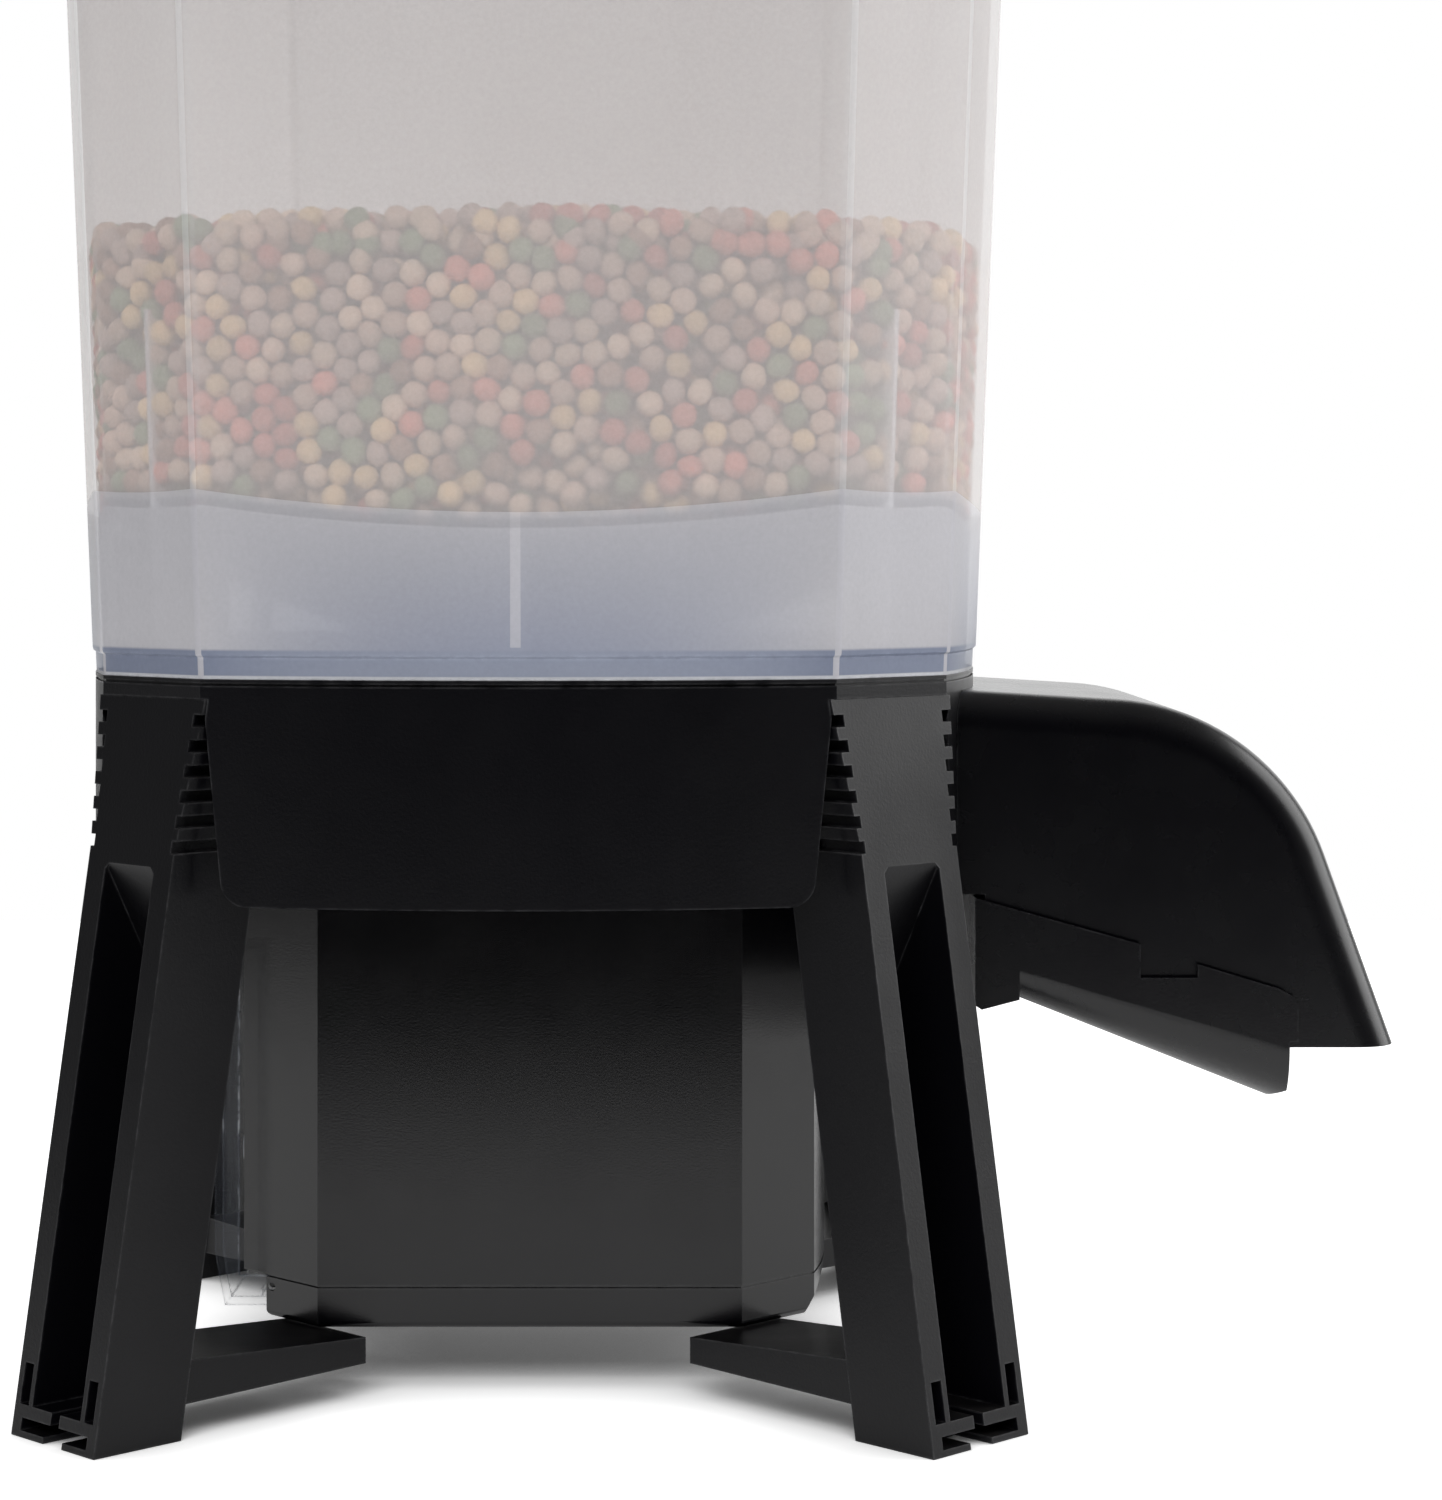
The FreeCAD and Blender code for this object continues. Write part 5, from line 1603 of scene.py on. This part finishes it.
@dataclass
class PanScrews:
    """Pan-head screws with a cross recess, in groups that are alike."""

    head_r: float = 3.0 * MM
    head_h: float = 2.3 * MM
    shank_r: float = 1.55 * MM

    def shape(self, length: float) -> bpy.types.Mesh:
        """Make one screw with its head towards +Z and its seat at the origin.

        Args:
            length: Length of the shank.

        Returns:
            The screw's mesh.
        """
        profile = [(0.0, -length), (self.shank_r * 0.5, -length), (self.shank_r, -length + 1.4 * MM)]
        turns = max(2, int(length / (1.0 * MM)) - 2)
        for i in range(turns):
            z = -length + 1.4 * MM + (length - 1.6 * MM) * (i + 0.5) / turns
            profile += [(self.shank_r * (0.84 if i % 2 else 1.0), z)]
        profile += [(self.shank_r, -0.1 * MM), (self.head_r, 0.0), (self.head_r, self.head_h * 0.45),
                    (self.head_r * 0.9, self.head_h * 0.75), (self.head_r * 0.68, self.head_h * 0.93),
                    (self.head_r * 0.35, self.head_h)]
        steps = 20
        rings = [[Vector((max(r, 1e-5) * math.cos(math.tau * i / steps),
                          max(r, 1e-5) * math.sin(math.tau * i / steps), z))
                  for i in range(steps)] for r, z in profile]
        screw = new_object("screw", lathe_loft(rings))
        for turn in (0.0, math.pi / 2):
            cutter = new_object("cutter", self.blade(turn))
            cut = screw.modifiers.new("recess", "BOOLEAN")
            cut.object, cut.operation, cut.solver = cutter, "DIFFERENCE", "EXACT"
            mesh = baked(screw)
            screw.data = mesh
            bpy.data.objects.remove(cutter)
        bpy.data.objects.remove(screw)
        return mesh

    def blade(self, turn: float) -> bpy.types.Mesh:
        """Make one arm of the cross recess, tapering downwards.

        Args:
            turn: Turn about Z, in radians.

        Returns:
            The cutter's mesh.
        """
        rings = []
        for z, long, wide in ((self.head_h * 0.25, 0.30, 0.10), (self.head_h * 1.3, 0.62, 0.15)):
            corners = [(-long, -wide), (long, -wide), (long, wide), (-long, wide)]
            spin = Matrix.Rotation(turn, 3, "Z")
            rings.append([spin @ Vector((x * self.head_r, y * self.head_r, z)) for x, y in corners])
        return lathe_loft(rings)

    def build(self, name: str, node: str, places: Sequence[Sequence[float]],
              turns: Sequence[Sequence[float]],
              length: float) -> bpy.types.Object:
        """Place a group of screws.

        Args:
            name: The piece's name.
            node: CAD node that the group stands for.
            places: Seats of the heads.
            turns: Rotation of each screw.
            length: Length of the shanks.

        Returns:
            The finished piece.
        """
        piece = stamped(name, self.shape(length), places, turns, ZINC)
        return finish_piece(piece, Body.BASE, Slot.SCREW, node)


# ---------------------------------------------------------------- base and casing

@dataclass
class Chassis:
    """Black base, legs, casing, hood and tray, with every screw that holds them."""

    leg_screw_z: float = 151.0 * MM
    boss_x: float = 50.0 * MM
    boss_y: float = 41.5 * MM
    cap_under: float = 14.5 * MM
    deck_top: float = 167.0 * MM
    cap_recess: float = 3.5 * MM
    screw_length: float = 13.0 * MM
    cap_screw_length: float = 15.0 * MM
    leg_screw_depth: float = 15.2 * MM
    hood_screw_depth: float = 2.4 * MM
    hood_screw_y: float = 47.0 * MM
    hood_screw_z: tuple[float, float] = (128.0 * MM, 152.0 * MM)

    def build(self) -> list[bpy.types.Object]:
        """Build the black mouldings and the screws.

        Returns:
            The finished pieces.
        """
        pieces = [refined("base_housing", "base_moulding", SATIN_BLACK, Body.BASE, Slot.BLACK)]
        for corner in ("front_left", "front_right", "rear_left", "rear_right"):
            pieces.append(refined("leg_" + corner, "leg_moulding_" + corner, SATIN_BLACK, Body.BASE,
                                  Slot.BLACK))
        pieces += [
            refined("control_box", "casing_shell", CASING_BLACK, Body.BASE, Slot.CASING),
            refined("control_box_cap", "casing_cap", CASING_BLACK, Body.BASE, Slot.CASING),
            refined("spout_hood", "hood_shell", HOOD_BLACK, Body.BASE, Slot.CASING, 0.35 * MM),
            refined("spout_tray", "tray_shell", HOOD_BLACK, Body.TRAY, Slot.BLACK, 0.5 * MM),
            refined("auger_trough", "auger_tube", SATIN_BLACK, Body.BASE, Slot.BLACK),
        ]
        return pieces + self.screws()

    def screws(self) -> list[bpy.types.Object]:
        """Build the four groups of screws.

        Returns:
            The finished pieces.
        """
        screws, pieces = PanScrews(), []
        corners = [(sx, sy) for sx in (-1, 1) for sy in (-1, 1)]
        pieces.append(screws.build("deck_screw_set", "deck_screws",
                                   [(sx * self.boss_x, sy * self.boss_y, self.deck_top)
                                    for sx, sy in corners],
                                   [(0.0, 0.0, 0.4 * i) for i in range(4)], self.screw_length))
        pieces.append(screws.build("cap_screw_set", "cap_screws",
                                   [(sx * self.boss_x, sy * self.boss_y, self.cap_under + self.cap_recess)
                                    for sx, sy in corners],
                                   [(math.pi, 0.0, 0.3 * i) for i in range(4)], self.cap_screw_length))
        low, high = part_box("leg_screws")
        reach = high.x * math.sqrt(2) - self.leg_screw_depth
        diagonal = [math.radians(45 + 90 * i) for i in range(4)]
        pieces.append(screws.build("leg_screw_set", "leg_screws",
                                   [(reach * math.cos(a), reach * math.sin(a), self.leg_screw_z)
                                    for a in diagonal],
                                   [(0.0, -math.pi / 2, a) for a in diagonal], self.screw_length))
        low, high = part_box("hood_screws")
        seat = low.x + self.hood_screw_depth
        pieces.append(screws.build("hood_screw_set", "hood_screws",
                                   [(seat, sy * self.hood_screw_y, z)
                                    for sy in (-1, 1) for z in self.hood_screw_z],
                                   [(0.0, -math.pi / 2, 0.0)] * 4, high.x - seat))
        return pieces


# ---------------------------------------------------------------- control panel

@dataclass
class ControlPanel:
    """Fascia, display, buttons and the clear cover over them."""

    buttons: tuple[tuple[str, float], ...] = (("menu", -18.0), ("down", -6.0), ("up", 6.0),
                                              ("enter", 18.0))
    button_z: float = 52.0 * MM
    face_x: float = -71.4 * MM
    display_x: float = -67.42 * MM
    display_z: float = 81.0 * MM
    digit_h: float = 12.0 * MM
    digit_pitch: float = 9.4 * MM
    middle_gap: float = 1.8 * MM
    upright_reach: float = 2.9 * MM
    segment: tuple[float, float] = (2.5 * MM, 0.62 * MM)
    ink: float = 0.05 * MM
    shown: str = "0830"

    def build(self) -> list[bpy.types.Object]:
        """Build everything on the panel.

        Returns:
            The finished pieces.
        """
        pieces = [
            refined("control_fascia", "panel_fascia", PANEL_GREY, Body.BASE, Slot.BLACK, 0.25 * MM),
            refined("clear_cover", "flip_cover", CLEAR, Body.COVER, Slot.CLEAR, 0.4 * MM),
            self.digits(),
        ]
        for word, y in self.buttons:
            node = "button_" + word
            body = Body(node)
            pieces.append(refined(node, node + "_cap", BUTTON_RUBBER, body, Slot.BUTTON, 0.25 * MM, 40.0))
            icon = new_object(node + "_icon", self.icon(word, y * MM), ICON_WHITE)
            pieces.append(finish_piece(icon, body, None))
        return pieces

    def icon(self, word: str, y: float) -> bpy.types.Mesh:
        """Make the small raised sign on a button.

        Args:
            word: Which button.
            y: Its place along Y.

        Returns:
            The sign's mesh.
        """
        r = 1.9 * MM
        shapes = {
            "up": [[(-0.95, -0.6), (0.95, -0.6), (0.0, 0.9)]],
            "down": [[(-0.95, 0.6), (0.0, -0.9), (0.95, 0.6)]],
            "menu": [[(-0.9, z - 0.12), (0.9, z - 0.12), (0.9, z + 0.12),
                      (-0.9, z + 0.12)] for z in (-0.6, 0.0, 0.6)],
            "enter": [[(0.8 * math.cos(math.tau * i / 16),
                        0.8 * math.sin(math.tau * i / 16)) for i in range(16)]],
        }
        parts = []
        for shape in shapes[word]:
            rings = [[Vector((self.face_x + x, y + r * a, self.button_z + r * b)) for a, b in shape]
                     for x in (0.10 * MM, -0.14 * MM)]
            parts.append(lathe_loft(rings))
        return joined_mesh(parts)

    def digits(self) -> bpy.types.Object:
        """Build the display's seven-segment digits.

        Returns:
            The finished piece.
        """
        lit = {"0": "abcdef", "3": "abcdg", "8": "abcdefg"}
        h = self.digit_h / 2
        seats = {"a": (0, h, 0), "b": (1, h / 2, 1), "c": (1, -h / 2, 1), "d": (0, -h, 0),
                 "e": (-1, -h / 2, 1), "f": (-1, h / 2, 1), "g": (0, 0, 0)}
        places, turns = [], []
        for column, digit in enumerate(self.shown):
            centre = (column - 1.5) * self.digit_pitch + (0.5 if column > 1 else -0.5) * self.middle_gap
            for name in lit[digit]:
                side, up, upright = seats[name]
                places.append((self.display_x, -centre - side * self.upright_reach, self.display_z + up))
                turns.append((math.pi / 2 if upright else 0.0, 0.0, 0.0))
        long, wide = self.segment
        outline = [(-long, 0), (-long + wide, wide), (long - wide, wide), (long, 0), (long - wide, -wide),
                   (-long + wide, -wide)]
        bar = lathe_loft([[Vector((x, y, z)) for y, z in outline] for x in (0.0, -self.ink)])
        piece = stamped("display_digits", bar, places, turns, DISPLAY_INK)
        return finish_piece(piece, Body.BASE, Slot.DISPLAY)


# ---------------------------------------------------------------- batteries and drive

@dataclass
class PowerAndDrive:
    """Springs of the battery pack, and finishes of the nodes that keep their CAD shape."""

    coil_turns: float = 4.5
    wire: float = 0.45 * MM
    cells_x: float = 14.0 * MM
    pitch: float = 34.6 * MM
    cell_foot: float = 24.0 * MM
    cell_length: float = 61.0 * MM
    spring_foot: float = 19.6 * MM
    spring_above: float = 4.4 * MM
    coil_foot: float = 6.0 * MM
    coil_tip: float = 3.8 * MM
    coil_height: float = 4.3 * MM

    def build(self) -> list[bpy.types.Object]:
        """Dress the inner nodes and coil the springs.

        Returns:
            The finished pieces.
        """
        finishes = {
            "throat_seal": GREY_SEAL, "shaft_seal": GREY_SEAL, "cover_hinge_pin": GROUND_STEEL,
            "display_lens": CLEAR_LENS, "display_module": DISPLAY_FACE, "circuit_board": BOARD,
            "button_switches": DARK_GREY, "battery_tray": DARK_GREY, "battery_cells": JACKET,
            "battery_contacts": NICKEL, "battery_top_plate": DARK_GREY, "auger_bush": ACETAL,
            "auger": ACETAL, "drive_shaft": GROUND_STEEL, "gearbox": DARK_GREY,
            "motor_can": MOTOR_STEEL, "motor_bracket": ZINC,
        }
        for node, finish in finishes.items():
            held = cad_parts[node]
            for holder in held.material_slots:
                holder.link = "OBJECT"
                holder.material = finish.make()
            LOG.info("%s keeps its shape, finish %s", node, finish.name)
        return [self.springs()]

    def springs(self) -> bpy.types.Object:
        """Coil the eight contact springs.

        Returns:
            The finished piece.
        """
        places, turns = [], []
        top = self.cell_foot + self.cell_length + self.spring_above
        for sx in (-1, 1):
            for sy in (-1, 1):
                x, y = self.cells_x + sx * self.pitch / 2, sy * self.pitch / 2
                places += [(x, y, self.spring_foot), (x, y, top)]
                turns += [(0.0, 0.0, 0.0), (math.pi, 0.0, 0.0)]
        tree = GrowTree("coil_springs", {"Turns": self.coil_turns, "Foot": self.coil_foot,
                                         "Tip": self.coil_tip, "Height": self.coil_height,
                                         "Wire": self.wire, "Material": NICKEL.make()})
        given = tree.given.outputs
        coil = tree.add("GeometryNodeCurveSpiral", Resolution=20, Rotations=given["Turns"],
                        Start_Radius=given["Foot"], End_Radius=given["Tip"], Height=given["Height"])
        section = tree.add("GeometryNodeCurvePrimitiveCircle", Resolution=6, Radius=given["Wire"])
        wire = tree.add("GeometryNodeCurveToMesh", Curve=coil, Profile_Curve=section.outputs["Curve"],
                        Fill_Caps=True)
        turn = tree.add("GeometryNodeInputNamedAttribute", {"data_type": "FLOAT_VECTOR"}, Name="turn")
        spread = tree.add("GeometryNodeInstanceOnPoints", Points=given["Geometry"], Instance=wire,
                          Rotation=turn)
        tree.finish(spread)
        piece = tree.grow("contact_springs", seed_mesh(places, turn=turns))
        return finish_piece(piece, Body.BASE, Slot.CONTACT, "battery_springs")


# ---------------------------------------------------------------- studio

@dataclass(frozen=True)
class Softbox:
    """One soft light of the studio."""

    name: str
    place: Colour
    aim: Colour
    width: float
    height: float
    power: float
    colour: Colour = (1.0, 1.0, 1.0)
    mirrored: bool = True

    def build(self) -> bpy.types.Object:
        """Hang the light.

        Returns:
            The light's object.
        """
        data = bpy.data.lights.new(self.name, "AREA")
        data.shape, data.size, data.size_y, data.energy, data.color = (
            "RECTANGLE", self.width, self.height, self.power, self.colour)
        light = bpy.data.objects.new(self.name, data)
        bpy.context.scene.collection.objects.link(light)
        light.location = self.place
        light.rotation_euler = (Vector(self.aim) - Vector(self.place)).to_track_quat("-Z", "Y").to_euler()
        light.visible_camera, light.visible_glossy = False, self.mirrored
        return light


@dataclass
class Studio:
    """Camera, pale floor, bright surroundings and soft lights."""

    grains: list[bpy.types.Object]
    camera_place: Colour = (0.045, -0.874, 0.197)
    lens: float = 84.0
    sensor: float = 36.0
    shift_y: float = -0.1313
    clip: tuple[float, float] = (0.01, 50.0)
    surround: float = 0.17
    front_dim: float = 0.01
    floor_glow: float = 0.46
    floor_depth: tuple[float, float] = (-0.01, -0.0001)
    softboxes: tuple[Softbox, ...] = (
        Softbox("front_fill", (-0.2, -1.5, 1.25), (0.0, 0.0, 0.2), 1.3, 0.9, 20.0, mirrored=False),
        Softbox("rear_glow", (0.2, 1.5, 0.55), (0.0, 0.0, 0.25), 2.2, 1.1, 8.5),
        Softbox("right_side", (1.5, 0.25, 0.72), (0.1, 0.0, 0.12), 1.2, 1.2, 14.0),
    )
    inner_lights: tuple[Softbox, ...] = (
        Softbox("hopper_inner_front", (-0.1, -1.3, 0.75), (0.0, 0.0, 0.24), 1.6, 1.0, 7.5),
        Softbox("hopper_inner_panel", (-1.2, 0.7, 0.75), (0.0, 0.0, 0.24), 1.6, 1.0, 10.0),
        Softbox("hopper_inner_spout", (1.2, 0.7, 0.75), (0.0, 0.0, 0.24), 1.6, 1.0, 10.0),
    )

    def build(self) -> None:
        """Set up the scene around the object."""
        scene = bpy.context.scene
        data = bpy.data.cameras.new("camera")
        data.lens, data.shift_y = self.lens, self.shift_y
        data.sensor_width, data.sensor_fit = self.sensor, "AUTO"
        data.clip_start, data.clip_end = self.clip
        camera = bpy.data.objects.new("camera", data)
        scene.collection.objects.link(camera)
        camera.location = self.camera_place
        camera.rotation_euler = (math.pi / 2, 0.0, 0.0)
        scene.camera = camera
        scene.view_settings.view_transform = "Standard"
        for softbox in self.softboxes:
            softbox.build()
        self.light_pellets([softbox.build() for softbox in self.inner_lights])
        self.floor()
        self.world()

    def light_pellets(self, lights: Sequence[bpy.types.Object]) -> None:
        """Let some lights reach only the pellets, for what a frosted wall scatters inwards.

        Args:
            lights: The lights.
        """
        grains = bpy.data.collections.new("inside_frosted_wall")
        for piece in self.grains:
            grains.objects.link(piece)
        for light in lights:
            light.light_linking.receiver_collection = grains
            light.light_linking.blocker_collection = grains

    def floor(self) -> None:
        """Lay the pale floor, wider to the sides and the rear than to the front."""
        left, right, near, far = -0.85, 0.95, -0.50, 1.0
        rings = []
        for z in self.floor_depth:
            rings.append([Vector((x, y, z))
                          for x, y in ((left, near), (right, near), (right, far), (left, far))])
        floor = new_object("studio_floor", lathe_loft(rings),
                           PaleFloor("pale_floor", (0.86, 0.86, 0.86), 0.75, glow=self.floor_glow))

    def world(self) -> None:
        """Make the surroundings white to the camera, dim as a light, and dark in front."""
        world = bpy.data.worlds.new("studio")
        bpy.context.scene.world = world
        world.use_nodes = True
        world.node_tree.nodes.clear()
        nodes = Nodes(world.node_tree)
        where = nodes.add("ShaderNodeTexCoord").outputs["Generated"]
        facing = nodes.add("ShaderNodeSeparateXYZ", Vector=where).outputs["Y"]
        around = nodes.span(facing, -0.9, -0.1, self.front_dim, self.surround)
        seen = nodes.add("ShaderNodeLightPath").outputs["Is Camera Ray"]
        strength = nodes.math("MAXIMUM", around, seen)
        back = nodes.add("ShaderNodeBackground", Color=(1.0, 1.0, 1.0, 1.0), Strength=strength)
        output = nodes.add("ShaderNodeOutputWorld")
        world.node_tree.links.new(back.outputs[0], output.inputs["Surface"])


# ---------------------------------------------------------------- all of it

def main() -> None:
    """Build the studio and every piece."""
    logging.basicConfig(level=logging.INFO, format="%(name)s: %(message)s", stream=sys.stdout)
    hopper = Hopper()
    grains: list[bpy.types.Object] = []
    made = 0
    for name, make in (("hopper", hopper.build), ("pellets", PelletFill(hopper).build),
                       ("lid", Lid().build), ("chassis", Chassis().build),
                       ("control panel", ControlPanel().build),
                       ("power and drive", PowerAndDrive().build)):
        pieces = make()
        made += len(pieces)
        grains += pieces if name == "pellets" else []
        LOG.info("%s: %d pieces", name, len(pieces))
    Studio(grains).build()
    LOG.info("%d pieces in all", made)


if __name__ == "__main__":
    main()
